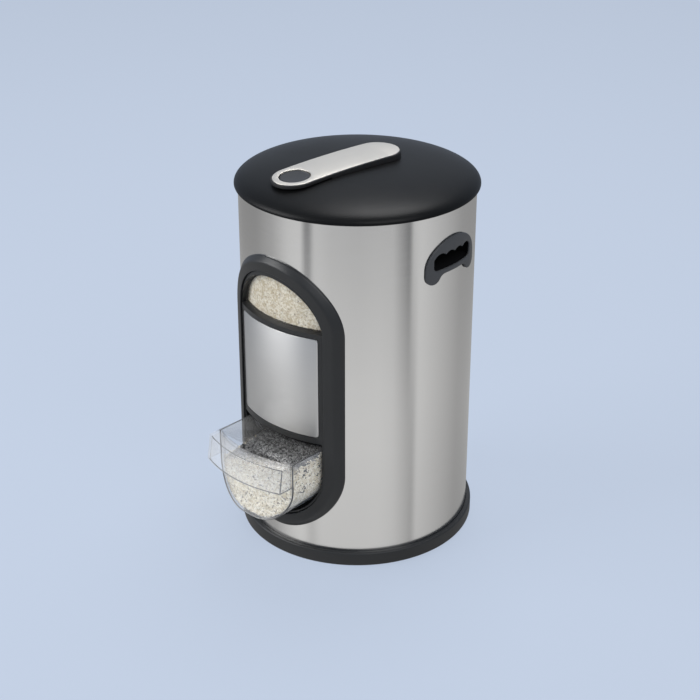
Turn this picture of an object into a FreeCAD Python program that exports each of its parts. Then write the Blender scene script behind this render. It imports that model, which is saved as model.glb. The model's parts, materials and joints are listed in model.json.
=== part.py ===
"""Rice dispenser: a steel drum on a plastic base, with a lift-off lid and a pull-out drawer.

The drum's axis is +Z, the floor is z = 0, and the front, where the drawer comes out, faces -Y.
The drawer is drawn part of the way out and the lid is on. All sizes are in millimetres.
"""
import FreeCAD, Part
import math
import os

from FreeCAD import Vector

# ---- clearances -----------------------------------------------------------------------------
FIT = 0.3               # between two fixed pieces that are pushed together
RUN = 0.4               # between a moving piece and what guides it
PILOT = 0.1             # between a screw's shank and its hole
SEAT = 0.05             # under a flat screw head on a curved wall

# ---- drum -----------------------------------------------------------------------------------
BODY_RADIUS = 125.0     # outside of the steel
STEEL = 0.6
PANEL_DEPTH = 4.0       # how far the front panel's back lies inside the steel's outside

# ---- base -----------------------------------------------------------------------------------
FOOT_STAND = 1.2        # gap between the base's rim and the floor
FOOT_RADIUS = 9.0
FOOT_SETBACK = 29.0     # outer feet's circle inside the steel
FLOOR_UNDER = 6.0       # underside of the base's floor
FLOOR_THICK = 2.5
BASE_TOP = 17.0         # ledge round the steel's foot
BASE_REACH = 5.5        # how far the base stands out past the steel
BASE_ROUND = 3.4        # shoulder of the ledge
BASE_TOE = 1.6          # chamfer at the bottom of the rim
BASE_WALL = 2.6         # wall inside the steel
BASE_GROOVE = 12.0      # how deep the steel sits in the base
RIM_WIDTH = 12.0        # width of the solid rim under the wall
RIB_COUNT = 8
RIB_THICK = 2.0
HUB_RADIUS = 13.0

# ---- lid ------------------------------------------------------------------------------------
LID_EDGE = 395.0        # lower edge of the lid's skirt
LID_REACH = 4.0         # how far the skirt stands out past the steel
LID_WALL = 2.8
EDGE_CUT = 0.8          # chamfer on the skirt's edge
LID_SHOULDER = 107.0    # width of the curve from the skirt to the middle
LID_BULGE = 21.0        # height of that curve
LID_SKIRT = 1.2         # straight part of the skirt
LID_RISE = 0.1          # how far the middle stands above the curve's end
LID_LAP = 2.0           # how far the skirt hangs over the collar
LINER_THICK = 2.0
LINER_INSET = 10.5      # liner's edge inside the lid's edge
SEAL_THICK = 2.3
SEAL_WIDTH = 4.5
SEAL_INSET = 1.0        # from the collar's bore
PLUG_DEPTH = 9.0
PLUG_WALL = 2.0
PLUG_GAP = 1.6
SEAT_RING = 2.0         # width of the ring that the liner is seated on

# ---- grip on the lid ------------------------------------------------------------------------
GRIP_TURN = -8.4        # degrees from the front, seen from above
GRIP_SETBACK = 48.0     # centre of its front end, inside the lid's edge
GRIP_BACK = 26.8        # centre of its back end
TRIM_HALF = 23.0
PAD_MARGIN = 1.8        # black border round the bright trim
PAD_STAND = 5.7         # pad's top above the middle of the lid
PAD_NOSE = 2.8          # thickness of the pad's free front end
NOSE_START = 52.0       # the pad is clear of the lid in front of this
NOSE_FALL = 5.2         # degrees that the front of the pad slopes down
TRIM_THICK = 1.4
TRIM_PROUD = 0.4
BUTTON_RADIUS = 16.0
BUTTON_THICK = 3.0
BUTTON_TRAVEL = 2.5
STEM_RADIUS = 2.8
WELL_WALL = 1.8
VENT_RADIUS = 5.0
WASHER_RADIUS = 8.5
WASHER_THICK = 1.8
WASHER_FOOT = 6.0       # radius of the stem's foot
SPRING_RADIUS = 6.0
SPRING_WIRE = 0.8
SPRING_TURNS = 3

# ---- collar and hopper ----------------------------------------------------------------------
COLLAR_WIDTH = 13.0     # from the steel's outside to the collar's opening
COLLAR_THICK = 2.0
COLLAR_WALL = 2.2
COLLAR_DEPTH = 20.0
HOPPER_WALL = 2.0
HOPPER_GAP = 1.5        # between the hopper and the front panel
HOPPER_FLAT_IN = 28.0   # how far the flats beside the hand grips lie inside the steel
HOPPER_STEP = 8.0       # the flats end this far above the hand grips
HOPPER_SLOPE = 36.0     # degrees, floor towards the drawer
HOPPER_CHEEK = 45.0     # degrees, sides of the floor
OUTLET_HALF = 44.0
OUTLET_LIP = 10.9       # sleeve's front face to the outlet

# ---- drawer and its sleeve ------------------------------------------------------------------
DRAWN = 40.0            # how far the drawer is out
DRAWER_HALF = 55.5
DRAWER_UNDER = 62.0     # its underside above the floor
DRAWER_HEIGHT = 78.0
DRAWER_CORNER = 46.0
DRAWER_WALL = 1.8
DRAWER_DEPTH = 109.0
STROKE_LEFT = 45.0      # travel that is left before the drawer's back meets the mouth
LIP_REACH = 13.0
LIP_DROP = 28.0
LIP_FLARE = 4.0
SLEEVE_WALL = 2.0
SLEEVE_HEAD = 1.0       # room above the drawer's rim
POST_RADIUS = 5.0
POST_X = 20.0
POST_Y = (-62.0, 8.0)

# ---- front panel, from the drawer outwards and upwards ---------------------------------------
MOUTH_GAP = 2.0         # beside the drawer
MOUTH_HEAD = 8.0        # above the drawer
PANEL_SINK = 48.0       # centre of the panel's lower arc above the drawer's underside
FASCIA_RIM = 2.5        # fascia's narrowest part, beside the mouth
BEZEL_WIDTH = 16.0
BEZEL_PROUD = 6.5
BEZEL_CHAMFER = 3.6
SPIGOT = 8.0            # width of the bezel's spigot through the steel
SCREW_LINE = 5.2        # screws' line outside the bezel's inner edge
CLAMP_WIDTH = 14.0
CLAMP_THICK = 2.5
FASCIA_PROUD = 4.0
FASCIA_SHEET = 3.3      # sheet behind the steel plate
LOWER_BAR = 7.5         # between the mouth and the steel plate
PLATE_MARGIN = 3.0      # mouth's side to the steel plate's side
PLATE_HEIGHT = 113.5
PLATE_THICK = 1.0
PLATE_CORNER = 4.0
UPPER_BAR = 11.0        # between the steel plate and the window
WINDOW_MARGIN = 0.9     # mouth's side to the window's side
WINDOW_STILT = 9.5      # sill of the window above the centre of the panel's upper arc
PANE_THICK = 2.0
PANE_LAP = 1.5          # how far the pane reaches behind the window's edge
PANE_SET = 4.2          # window's face to the pane's face
GASKET_WIDTH = 3.0

# ---- hand grips -----------------------------------------------------------------------------
HAND_TURN = 4.0         # degrees, hand grips set back from the drum's sides
GRIP_HALF = 39.5
GRIP_DROP = 59.0        # level where the arch starts, below the lid's edge
GRIP_RISE = 31.0
GRIP_STAND = 2.6        # flange on the steel
GRIP_SIDE = 26.0        # radius of the arch's sides
LOBE_RADIUS = 9.5
LOBE_FALL = 6.0         # lobes' centres below the arch's start
WAIST = 6.5             # underside below the arch's start
WAIST_HALF = 14.0
LOBE_TURN = 39.0        # degrees, where a lobe's circle ends under the grip
WAIST_BOW = 0.6         # bend of the curve between a lobe and the waist, outward
WAIST_BOW_UP = 1.1      # and upward
RIDGE_THICK = 1.5
POCKET_INSET = 3.8      # pocket's side inside the flange's edge
POCKET_FLOOR = 3.5      # pocket's floor below the arch's start
POCKET_WALL = 2.0
POCKET_CORNER = 3.0
SNAP = 2.2              # ridge that catches behind the steel
HOLE_HALF = 30.0
HOLE_FLOOR = 1.2        # finger hole's floor below the arch's start
HOLE_HEIGHT = 15.0
HOLE_CORNER = 5.0
FINGERS = 4
FINGER_DEPTH = 2.6

# ---- screws ---------------------------------------------------------------------------------
SCREW_RADIUS = 1.5
SCREW_HEAD = 3.0
HEAD_THICK = 1.6
FRAME_SCREW_BITE = 4.5  # length in the bezel
BASE_SCREW_BITE = 9.0   # length in the sleeve's posts

# ---- worked out from the above --------------------------------------------------------------
STEEL_INSIDE = BODY_RADIUS - STEEL
FOOT_CIRCLE = BODY_RADIUS - FOOT_SETBACK
LID_RADIUS = BODY_RADIUS + LID_REACH
COLLAR_BORE = BODY_RADIUS - COLLAR_WIDTH
HOPPER_FLAT = BODY_RADIUS - HOPPER_FLAT_IN
GRIP_FRONT = LID_RADIUS - GRIP_SETBACK
GRIP_SPRING = LID_EDGE - GRIP_DROP
DRAWER_RIM = DRAWER_UNDER + DRAWER_HEIGHT
MOUTH_HALF = DRAWER_HALF + MOUTH_GAP
MOUTH_TOP = DRAWER_RIM + MOUTH_HEAD
PLATE_HALF = MOUTH_HALF - PLATE_MARGIN
PLATE_LOW = MOUTH_TOP + LOWER_BAR
PLATE_HIGH = PLATE_LOW + PLATE_HEIGHT
WINDOW_HALF = MOUTH_HALF - WINDOW_MARGIN
WINDOW_SILL = PLATE_HIGH + UPPER_BAR
PANEL_LOW = DRAWER_UNDER + PANEL_SINK
PANEL_HIGH = WINDOW_SILL - WINDOW_STILT
BEZEL_LAND = MOUTH_HALF + FASCIA_RIM
BEZEL_HALF = BEZEL_LAND + BEZEL_WIDTH
CLAMP_HALF = BEZEL_LAND + CLAMP_WIDTH
FLOOR_TOP = FLOOR_UNDER + FLOOR_THICK
COLLAR_TOP = LID_EDGE + LID_LAP
STEEL_TOP = COLLAR_TOP - COLLAR_THICK
STEEL_FOOT = BASE_TOP - BASE_GROOVE
PANEL_BACK = BODY_RADIUS - PANEL_DEPTH
HOPPER_RADIUS = PANEL_BACK - HOPPER_GAP
FACE_RADIUS = BODY_RADIUS + FASCIA_PROUD
FASCIA_HALF = BEZEL_LAND - FIT
CUTOUT_HALF = BEZEL_LAND + SPIGOT + FIT
CLAMP_FACE = STEEL_INSIDE - FIT
SEAL_LOW = COLLAR_TOP + FIT
LINER_LOW = SEAL_LOW + SEAL_THICK
LINER_TOP = LINER_LOW + LINER_THICK
LID_FLAT = LID_RADIUS - LID_SHOULDER
SHOULDER_Z = LID_EDGE + LID_SKIRT
LID_CROWN = SHOULDER_Z + LID_BULGE + LID_RISE
LINER_RADIUS = LID_RADIUS - LINER_INSET
PAD_TOP = LID_CROWN + PAD_STAND
PAD_HALF = TRIM_HALF + PAD_MARGIN
WELL_RADIUS = BUTTON_RADIUS + RUN + WELL_WALL
WELL_FLOOR = LINER_TOP + WELL_WALL
SLEEVE_TOP = DRAWER_RIM + SLEEVE_HEAD + SLEEVE_WALL
SLEEVE_FACE = PANEL_BACK - FIT
GRIP_TOP = GRIP_SPRING + GRIP_RISE
HAND_LEAN = math.radians(HAND_TURN)
POCKET_BACK = (HOPPER_FLAT + FIT + (GRIP_HALF - POCKET_INSET) * math.sin(HAND_LEAN)) / math.cos(HAND_LEAN)
GRIP_CREST = (GRIP_HALF**2 + GRIP_RISE**2 - 2 * GRIP_HALF * GRIP_SIDE) / (2 * (GRIP_RISE - GRIP_SIDE))
DRAWER_BACK = DRAWER_DEPTH - FACE_RADIUS - DRAWN
OUTLET_BACK = DRAWER_BACK - DRAWER_WALL
OUTLET_FRONT = OUTLET_LIP - SLEEVE_FACE
SLEEVE_END = DRAWER_BACK + DRAWN + STROKE_LEFT + RUN + SLEEVE_WALL
FAR = 3 * BODY_RADIUS   # beyond everything, for cutting tools


# ---- shapes that several pieces are cut from -------------------------------------------------
def disc(radius, low, high, x=0.0, y=0.0):
    """Upright cylinder between two heights."""
    return Part.makeCylinder(radius, high - low, Vector(x, y, low))


def tube(inner, outer, low, high, x=0.0, y=0.0):
    """Upright pipe between two heights."""
    return disc(outer, low, high, x, y).cut(disc(inner, low - 1, high + 1, x, y))


def block(x_range, y_range, z_range):
    """Box between pairs of coordinates."""
    size = [pair[1] - pair[0] for pair in (x_range, y_range, z_range)]
    return Part.makeBox(*size, Vector(x_range[0], y_range[0], z_range[0]))


def closed_face(edges):
    """Face inside a loop of edges that are given in order."""
    return Part.Face(Part.Wire([edge.toShape() for edge in edges]))


def line(start, end):
    """Straight edge."""
    return Part.LineSegment(start, end)


def arc(start, middle, end):
    """Round edge through three points."""
    return Part.Arc(start, middle, end)


def polygon(points):
    """Face inside a closed run of points."""
    return Part.Face(Part.makePolygon(points + points[:1]))


def revolved(face):
    """Solid of revolution about Z from a face in the XZ plane."""
    return face.revolve(Vector(0, 0, 0), Vector(0, 0, 1), 360)


def stadium(half, low, high):
    """Upright slot shape, seen from the front, run through the drum's front half.

    low and high are the centres of its two half circles.
    """
    corners = [Vector(x, -FAR, z) for x, z in ((-half, low), (half, low), (half, high), (-half, high))]
    bottom = Vector(0, -FAR, low - half)
    top = Vector(0, -FAR, high + half)
    face = closed_face([arc(corners[0], bottom, corners[1]), line(corners[1], corners[2]),
                        arc(corners[2], top, corners[3]), line(corners[3], corners[0])])
    return face.extrude(Vector(0, FAR, 0))


def panel_stadium(half):
    """Slot shape that is concentric with the front panel."""
    return stadium(half, PANEL_LOW, PANEL_HIGH)


def above(shape, level):
    """Part of a shape over a level."""
    return shape.common(block((-FAR, FAR), (-FAR, FAR), (level, FAR * 2)))


def below(shape, level):
    """Part of a shape under a level."""
    return shape.common(block((-FAR, FAR), (-FAR, FAR), (-FAR, level)))


def layer(inner, outer):
    """Upright pipe as tall as the drum, which a front piece is cut from."""
    return tube(inner, outer, 0, COLLAR_TOP)


def rounded_panel(half, low, high, corner):
    """Rectangle with round corners, seen from the front, run through the front half."""
    box = block((-half, half), (-FAR, 0), (low, high))
    upright = [edge for edge in box.Edges if abs(edge.tangentAt(edge.FirstParameter).y) > 0.99]
    return box.makeFillet(corner, upright)


def trough(half, under, corner, top, front, back):
    """U shape with a round bottom, seen from the front, run from front to back."""
    side = half - corner
    diagonal = corner * math.sqrt(0.5)

    def point(x, z):
        return Vector(x, front, z)

    edges = [
        line(point(-half, top), point(-half, under + corner)),
        arc(point(-half, under + corner), point(-side - diagonal, under + corner - diagonal), point(-side, under)),
        line(point(-side, under), point(side, under)),
        arc(point(side, under), point(side + diagonal, under + corner - diagonal), point(half, under + corner)),
        line(point(half, under + corner), point(half, top)),
        line(point(half, top), point(-half, top)),
    ]
    return closed_face(edges).extrude(Vector(0, back - front, 0))


def radial(radius, near, far, side, level):
    """Cylinder that points at the drum's axis, at a distance side from the middle of the front."""
    angle = math.asin(side / BODY_RADIUS)
    outward = Vector(math.sin(angle), -math.cos(angle), 0)
    start = outward * near + Vector(0, 0, level)
    return Part.makeCylinder(radius, far - near, start, outward)


def joined(shapes):
    """Shapes fused into one solid."""
    whole = shapes[0]
    for shape in shapes[1:]:
        whole = whole.fuse(shape)
    return whole.removeSplitter()


def drilled(shape, holes):
    """Shape with each of a list of tools cut out of it."""
    for hole in holes:
        shape = shape.cut(hole)
    return shape


# ---- base -----------------------------------------------------------------------------------
def quarter_round(x, z, radius, steps):
    """Points from the right of a round corner to its top, about its centre."""
    angles = [math.pi / 2 * index / steps for index in range(steps + 1)]
    return [Vector(x + radius * math.cos(angle), 0, z + radius * math.sin(angle)) for angle in angles]


def base_profile():
    """Half section of the base: floor, rim, groove for the steel and the ledge round it."""
    rim = BODY_RADIUS + BASE_REACH
    rim_in = rim - RIM_WIDTH
    groove_out = BODY_RADIUS + FIT
    groove_in = STEEL_INSIDE - FIT
    wall = groove_in - BASE_WALL
    under = [(0, FLOOR_UNDER), (rim_in, FLOOR_UNDER), (rim_in, FOOT_STAND), (rim - BASE_TOE, FOOT_STAND)]
    inside = [(groove_out, BASE_TOP), (groove_out, STEEL_FOOT), (groove_in, STEEL_FOOT),
              (groove_in, BASE_TOP), (wall, BASE_TOP), (wall, FLOOR_TOP), (0, FLOOR_TOP)]
    points = [Vector(r, 0, z) for r, z in under + [(rim, FOOT_STAND + BASE_TOE)]]
    points += quarter_round(rim - BASE_ROUND, BASE_TOP - BASE_ROUND, BASE_ROUND, 3)
    return polygon(points + [Vector(r, 0, z) for r, z in inside])


def foot_places():
    """Centres of the feet: one in the middle and four near the rim."""
    spread = FOOT_CIRCLE * math.sqrt(0.5)
    return [(0.0, 0.0)] + [(x * spread, y * spread) for x in (-1, 1) for y in (-1, 1)]


def post_places():
    """Centres of the sleeve's posts."""
    return [(x, y) for x in (-POST_X, POST_X) for y in POST_Y]


def base():
    """Plastic base with stiffening ribs under its floor."""
    rim_in = BODY_RADIUS + BASE_REACH - RIM_WIDTH
    pieces = [revolved(base_profile()), disc(HUB_RADIUS, FOOT_STAND + 1, FLOOR_UNDER)]
    for index in range(RIB_COUNT):
        rib = block((HUB_RADIUS - 1, rim_in + 1), (-RIB_THICK / 2, RIB_THICK / 2), (FOOT_STAND + 1, FLOOR_UNDER))
        rib.rotate(Vector(0, 0, 0), Vector(0, 0, 1), (index + 0.5) * 360 / RIB_COUNT)
        pieces.append(rib)
    body = joined(pieces)
    pockets = [disc(FOOT_RADIUS + PILOT, 0, FLOOR_UNDER, x, y) for x, y in foot_places()]
    holes = [disc(SCREW_RADIUS + PILOT, 0, FLOOR_TOP + 1, x, y) for x, y in post_places()]
    sinks = [disc(SCREW_HEAD + RUN, 0, FLOOR_UNDER, x, y) for x, y in post_places()]
    return drilled(body, pockets + holes + sinks)


def feet():
    """Five rubber pads, flush against the base's floor."""
    return Part.makeCompound([disc(FOOT_RADIUS, 0, FLOOR_UNDER, x, y) for x, y in foot_places()])


# ---- steel drum -----------------------------------------------------------------------------
def arch_arcs(at, inset):
    """Three arcs of the hand grips' flattened arch, moved inward, from its right foot to its left one."""
    side_y = GRIP_HALF - GRIP_SIDE
    side = GRIP_SIDE - inset
    lean = math.atan2(GRIP_CREST - GRIP_RISE, side_y)

    def on_side(angle):
        return side_y + side * math.cos(angle), GRIP_SPRING + side * math.sin(angle)

    bend_y, bend_z = on_side(lean / 2)
    join_y, join_z = on_side(lean)
    return [arc(at(GRIP_HALF - inset, GRIP_SPRING), at(bend_y, bend_z), at(join_y, join_z)),
            arc(at(join_y, join_z), at(0, GRIP_TOP - inset), at(-join_y, join_z)),
            arc(at(-join_y, join_z), at(-bend_y, bend_z), at(inset - GRIP_HALF, GRIP_SPRING))]


def pocket_arch(grow=0.0):
    """Outline of the hand grips' pockets, grown or shrunk evenly, run right through the drum along X."""
    def at(y, z):
        return Vector(-FAR, y, z)

    half = GRIP_HALF - POCKET_INSET + grow
    low = GRIP_SPRING - POCKET_FLOOR - grow
    corner = POCKET_CORNER + grow
    slant = corner * (1 - math.sqrt(0.5))
    edges = arch_arcs(at, POCKET_INSET - grow) + [
        line(at(-half, GRIP_SPRING), at(-half, low + corner)),
        arc(at(-half, low + corner), at(slant - half, low + slant), at(corner - half, low)),
        line(at(corner - half, low), at(half - corner, low)),
        arc(at(half - corner, low), at(half - slant, low + slant), at(half, low + corner)),
        line(at(half, low + corner), at(half, GRIP_SPRING)),
    ]
    return closed_face(edges).extrude(Vector(2 * FAR, 0, 0))


def swung(shape, turn):
    """Copy of a shape made on the right side, turned about the drum's axis."""
    copy = shape.copy()
    copy.rotate(Vector(0, 0, 0), Vector(0, 0, 1), turn)
    return copy


def drum():
    """Rolled steel drum with openings for the front panel and both hand grips."""
    shell = tube(STEEL_INSIDE, BODY_RADIUS, STEEL_FOOT, STEEL_TOP)
    opening = pocket_arch(FIT).common(block((0, FAR), (-FAR, FAR), (0, STEEL_TOP)))
    openings = [swung(opening, turn) for turn in (HAND_TURN, 180 - HAND_TURN)]
    return drilled(shell, [panel_stadium(CUTOUT_HALF)] + openings)


# ---- collar and hopper ----------------------------------------------------------------------
def collar():
    """Ring that caps the steel's top edge and carries the lid."""
    outside = LID_RADIUS - LID_WALL - 2 * RUN
    wall_out = STEEL_INSIDE - FIT
    flange = tube(COLLAR_BORE, outside, STEEL_TOP, COLLAR_TOP)
    wall = tube(wall_out - COLLAR_WALL, wall_out, COLLAR_TOP - COLLAR_DEPTH, COLLAR_TOP)
    return joined([flange, wall])


def hopper_prism(inset):
    """Upright prism inside the hopper's outline, with flats beside the hand grips."""
    flat = HOPPER_FLAT - inset
    step = GRIP_TOP + HOPPER_STEP
    sides = block((-flat, flat), (-FAR, FAR), (SLEEVE_TOP, step))
    return disc(HOPPER_RADIUS - inset, SLEEVE_TOP, step).common(sides)


def floor_wedges(skin):
    """Wedges under the hopper's sloping floor, moved down by a skin: behind the outlet and beside it."""
    profiles = []
    for angle, start in ((HOPPER_SLOPE, OUTLET_BACK), (HOPPER_CHEEK, OUTLET_HALF)):
        slope = math.tan(math.radians(angle))
        drop = skin / math.cos(math.radians(angle))
        near = start + skin
        profiles.append([(near, -FAR), (near, SLEEVE_TOP + skin * slope - drop),
                         (FAR, SLEEVE_TOP + (FAR - start) * slope - drop), (FAR, -FAR)])
    behind = polygon([Vector(-FAR, y, z) for y, z in profiles[0]]).extrude(Vector(2 * FAR, 0, 0))
    right = polygon([Vector(x, -FAR, z) for x, z in profiles[1]]).extrude(Vector(0, 2 * FAR, 0))
    left = polygon([Vector(-x, -FAR, z) for x, z in profiles[1]]).extrude(Vector(0, 2 * FAR, 0))
    return [behind, right, left]


def hopper_rim():
    """Round upper ring of the hopper with the ledge that closes it in to the flats."""
    step = GRIP_TOP + HOPPER_STEP
    ring = tube(HOPPER_RADIUS - HOPPER_WALL, HOPPER_RADIUS, step, STEEL_TOP)
    hole = hopper_prism(HOPPER_WALL)
    hole.translate(Vector(0, 0, 2 * HOPPER_WALL))
    ledge = disc(HOPPER_RADIUS, step, step + HOPPER_WALL).cut(hole)
    return joined([ring, ledge])


def hopper_bin():
    """Wall of the hopper, cut off below along the sloping floor, with the window's opening."""
    wall = hopper_prism(0.0).cut(hopper_prism(HOPPER_WALL))
    window = window_form(WINDOW_HALF - GASKET_WIDTH, WINDOW_SILL + GASKET_WIDTH)
    return drilled(wall, floor_wedges(0.0) + [window])


def hopper_chute():
    """Sloping floor of the hopper: a plate behind the outlet and one on each side of it."""
    under = drilled(hopper_prism(0.0), floor_wedges(HOPPER_WALL))
    over = drilled(hopper_prism(0.0), floor_wedges(0.0))
    return under.cut(over)


# ---- front panel ----------------------------------------------------------------------------
def window_form(half, sill):
    """D shape of the window, run through the front."""
    return above(panel_stadium(half), sill)


def frame_screw_places():
    """Places of the bezel's screws: three down each side, one at the top and one at the bottom."""
    side = BEZEL_LAND + SCREW_LINE
    levels = (PANEL_LOW, (PANEL_LOW + PANEL_HIGH) / 2, PANEL_HIGH)
    sides = [(x * side, z) for x in (-1, 1) for z in levels]
    return sides + [(0.0, PANEL_HIGH + side), (0.0, PANEL_LOW - side)]


def bezel():
    """Outer ring of the front panel, lying on the steel, with a sloped shoulder and a spigot."""
    ring = panel_stadium(BEZEL_HALF).cut(panel_stadium(BEZEL_LAND))
    face_radius = BODY_RADIUS + BEZEL_PROUD
    face = ring.common(layer(BODY_RADIUS, face_radius))
    face = face.makeChamfer(BEZEL_CHAMFER, outline_edges(face, face_radius, BEZEL_HALF))
    spigot = panel_stadium(BEZEL_LAND + SPIGOT).cut(panel_stadium(BEZEL_LAND))
    spigot = spigot.common(layer(CLAMP_FACE, BODY_RADIUS + 1))
    pilots = [radial(SCREW_RADIUS + PILOT, CLAMP_FACE - 1, CLAMP_FACE + FRAME_SCREW_BITE + FIT, x, z)
              for x, z in frame_screw_places()]
    return drilled(joined([face, spigot]), pilots)


def outline_edges(shape, radius, half):
    """Edges of a front piece on one cylinder and on one slot outline."""
    def on_both(edge):
        for share in (0.1, 0.5, 0.9):
            point = edge.valueAt(edge.FirstParameter + share * (edge.LastParameter - edge.FirstParameter))
            level = min(max(point.z, PANEL_LOW), PANEL_HIGH)
            if abs(math.hypot(point.x, point.y) - radius) > 1e-3:
                return False
            if abs(math.hypot(point.x, point.z - level) - half) > 1e-3:
                return False
        return True

    return [edge for edge in shape.Edges if on_both(edge)]


def clamp_ring():
    """Ring behind the steel that the bezel is screwed to."""
    ring = panel_stadium(CLAMP_HALF).cut(panel_stadium(BEZEL_LAND))
    ring = ring.common(layer(CLAMP_FACE - CLAMP_THICK, CLAMP_FACE))
    holes = [radial(SCREW_RADIUS + PILOT, CLAMP_FACE - 2 * CLAMP_THICK, BODY_RADIUS, x, z)
             for x, z in frame_screw_places()]
    return drilled(ring, holes)


def frame_screws():
    """Screws from the inside, through the clamp ring into the bezel."""
    seat = CLAMP_FACE - CLAMP_THICK - SEAT
    screws = []
    for x, z in frame_screw_places():
        head = radial(SCREW_HEAD, seat - HEAD_THICK, seat, x, z)
        shank = radial(SCREW_RADIUS, seat - HEAD_THICK, CLAMP_FACE + FRAME_SCREW_BITE, x, z)
        screws.append(joined([head, shank]))
    return Part.makeCompound(screws)


def fascia():
    """Inner front frame: surround of the window, seat of the steel plate and the drawer's mouth."""
    body = panel_stadium(FASCIA_HALF).common(layer(PANEL_BACK, FACE_RADIUS))
    plate_seat = FACE_RADIUS - PLATE_THICK
    hollow = rounded_panel(MOUTH_HALF, MOUTH_TOP + FASCIA_SHEET, WINDOW_SILL - FASCIA_SHEET, PLATE_CORNER)
    pane_recess = window_form(WINDOW_HALF + PANE_LAP + PILOT, WINDOW_SILL - PANE_LAP - PILOT)
    return drilled(body, [
        window_form(WINDOW_HALF, WINDOW_SILL),
        pane_recess.common(layer(PANEL_BACK - 1, FACE_RADIUS - PANE_SET)),
        plate_outline(PILOT).common(layer(plate_seat, FACE_RADIUS + 1)),
        hollow.common(layer(PANEL_BACK - 1, plate_seat - FASCIA_SHEET)),
        below(panel_stadium(MOUTH_HALF), MOUTH_TOP),
    ])


def plate_outline(grow=0.0):
    """Outline of the steel plate, run through the front."""
    return rounded_panel(PLATE_HALF + grow, PLATE_LOW - grow, PLATE_HIGH + grow, PLATE_CORNER + grow)


def plate():
    """Curved steel plate between the window and the drawer."""
    return plate_outline().common(layer(FACE_RADIUS - PLATE_THICK, FACE_RADIUS))


def pane():
    """Clear pane behind the window's edge."""
    face = FACE_RADIUS - PANE_SET
    return window_form(WINDOW_HALF + PANE_LAP, WINDOW_SILL - PANE_LAP).common(layer(face - PANE_THICK, face))


def gasket():
    """Seal between the pane and the hopper's wall."""
    outer = window_form(WINDOW_HALF + PANE_LAP, WINDOW_SILL - PANE_LAP)
    inner = window_form(WINDOW_HALF - GASKET_WIDTH, WINDOW_SILL + GASKET_WIDTH)
    return outer.cut(inner).common(layer(HOPPER_RADIUS, FACE_RADIUS - PANE_SET - PANE_THICK))


# ---- drawer and its sleeve ------------------------------------------------------------------
def nose(shape, radius):
    """Shape with its front end rounded to a radius about the drum's axis as it moves with the drawer."""
    front = block((-FAR, FAR), (-2 * FAR, -DRAWN), (-FAR, FAR))
    return shape.cut(front.cut(disc(radius, -FAR, FAR, 0, -DRAWN)))


def drawer_lip():
    """Hollow pull under the drawer's front edge: a flared skirt with a top and two ends."""
    low = DRAWER_RIM - LIP_DROP
    crest = FACE_RADIUS + LIP_REACH
    foot = crest + LIP_FLARE
    room = block((-DRAWER_HALF, DRAWER_HALF), (-2 * FAR, -DRAWN), (low, DRAWER_RIM))
    cone = Part.makeCone(foot, crest, LIP_DROP, Vector(0, -DRAWN, low))
    form = room.common(cone).cut(disc(FACE_RADIUS - DRAWER_WALL / 2, low - 1, DRAWER_RIM + 1, 0, -DRAWN))
    inside = block((DRAWER_WALL - DRAWER_HALF, DRAWER_HALF - DRAWER_WALL), (-2 * FAR, -DRAWN),
                   (low - 1, DRAWER_RIM - DRAWER_WALL))
    cone_in = Part.makeCone(foot - DRAWER_WALL, crest - DRAWER_WALL, LIP_DROP, Vector(0, -DRAWN, low))
    cavity = inside.common(cone_in).cut(disc(FACE_RADIUS, low - 2, DRAWER_RIM, 0, -DRAWN))
    return form.cut(cavity)


def drawer():
    """Clear drawer: round-bottomed tub, pull lip, and a tongue that shuts the outlet behind it."""
    front = -2 * FAR
    outside = trough(DRAWER_HALF, DRAWER_UNDER, DRAWER_CORNER, DRAWER_RIM, front, DRAWER_BACK)
    inside = trough(DRAWER_HALF - DRAWER_WALL, DRAWER_UNDER + DRAWER_WALL, DRAWER_CORNER - DRAWER_WALL,
                    DRAWER_RIM + 1, front, DRAWER_BACK - DRAWER_WALL)
    tub = nose(outside, FACE_RADIUS).cut(nose(inside, FACE_RADIUS - DRAWER_WALL))
    tongue = block((-DRAWER_HALF, DRAWER_HALF), (DRAWER_BACK - DRAWER_WALL, DRAWER_BACK + STROKE_LEFT),
                   (DRAWER_RIM - DRAWER_WALL, DRAWER_RIM))
    return joined([tub, drawer_lip(), tongue])


def sleeve():
    """Round-bottomed tunnel that guides the drawer and carries the hopper's outlet."""
    inner_half = DRAWER_HALF + RUN
    inner_under = DRAWER_UNDER - FIT
    inner_corner = DRAWER_CORNER + RUN
    outer_half = inner_half + SLEEVE_WALL
    outside = trough(outer_half, inner_under - SLEEVE_WALL, inner_corner + SLEEVE_WALL, SLEEVE_TOP,
                     -FAR, SLEEVE_END)
    posts = [disc(POST_RADIUS, FLOOR_TOP, inner_under + SLEEVE_WALL, x, y) for x, y in post_places()]
    flange = below(panel_stadium(FASCIA_HALF), SLEEVE_TOP).common(layer(SLEEVE_FACE - SLEEVE_WALL, SLEEVE_FACE))
    whole = joined([outside.common(disc(SLEEVE_FACE, 0, COLLAR_TOP)), flange] + posts)
    inside = trough(inner_half, inner_under, inner_corner, SLEEVE_TOP - SLEEVE_WALL,
                    -FAR, SLEEVE_END - SLEEVE_WALL)
    outlet = block((-OUTLET_HALF, OUTLET_HALF), (OUTLET_FRONT, OUTLET_BACK), (DRAWER_RIM, SLEEVE_TOP + 1))
    pilots = [disc(SCREW_RADIUS + PILOT, 0, FLOOR_TOP + BASE_SCREW_BITE + FIT, x, y) for x, y in post_places()]
    return drilled(whole, [inside, outlet] + pilots)


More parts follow.
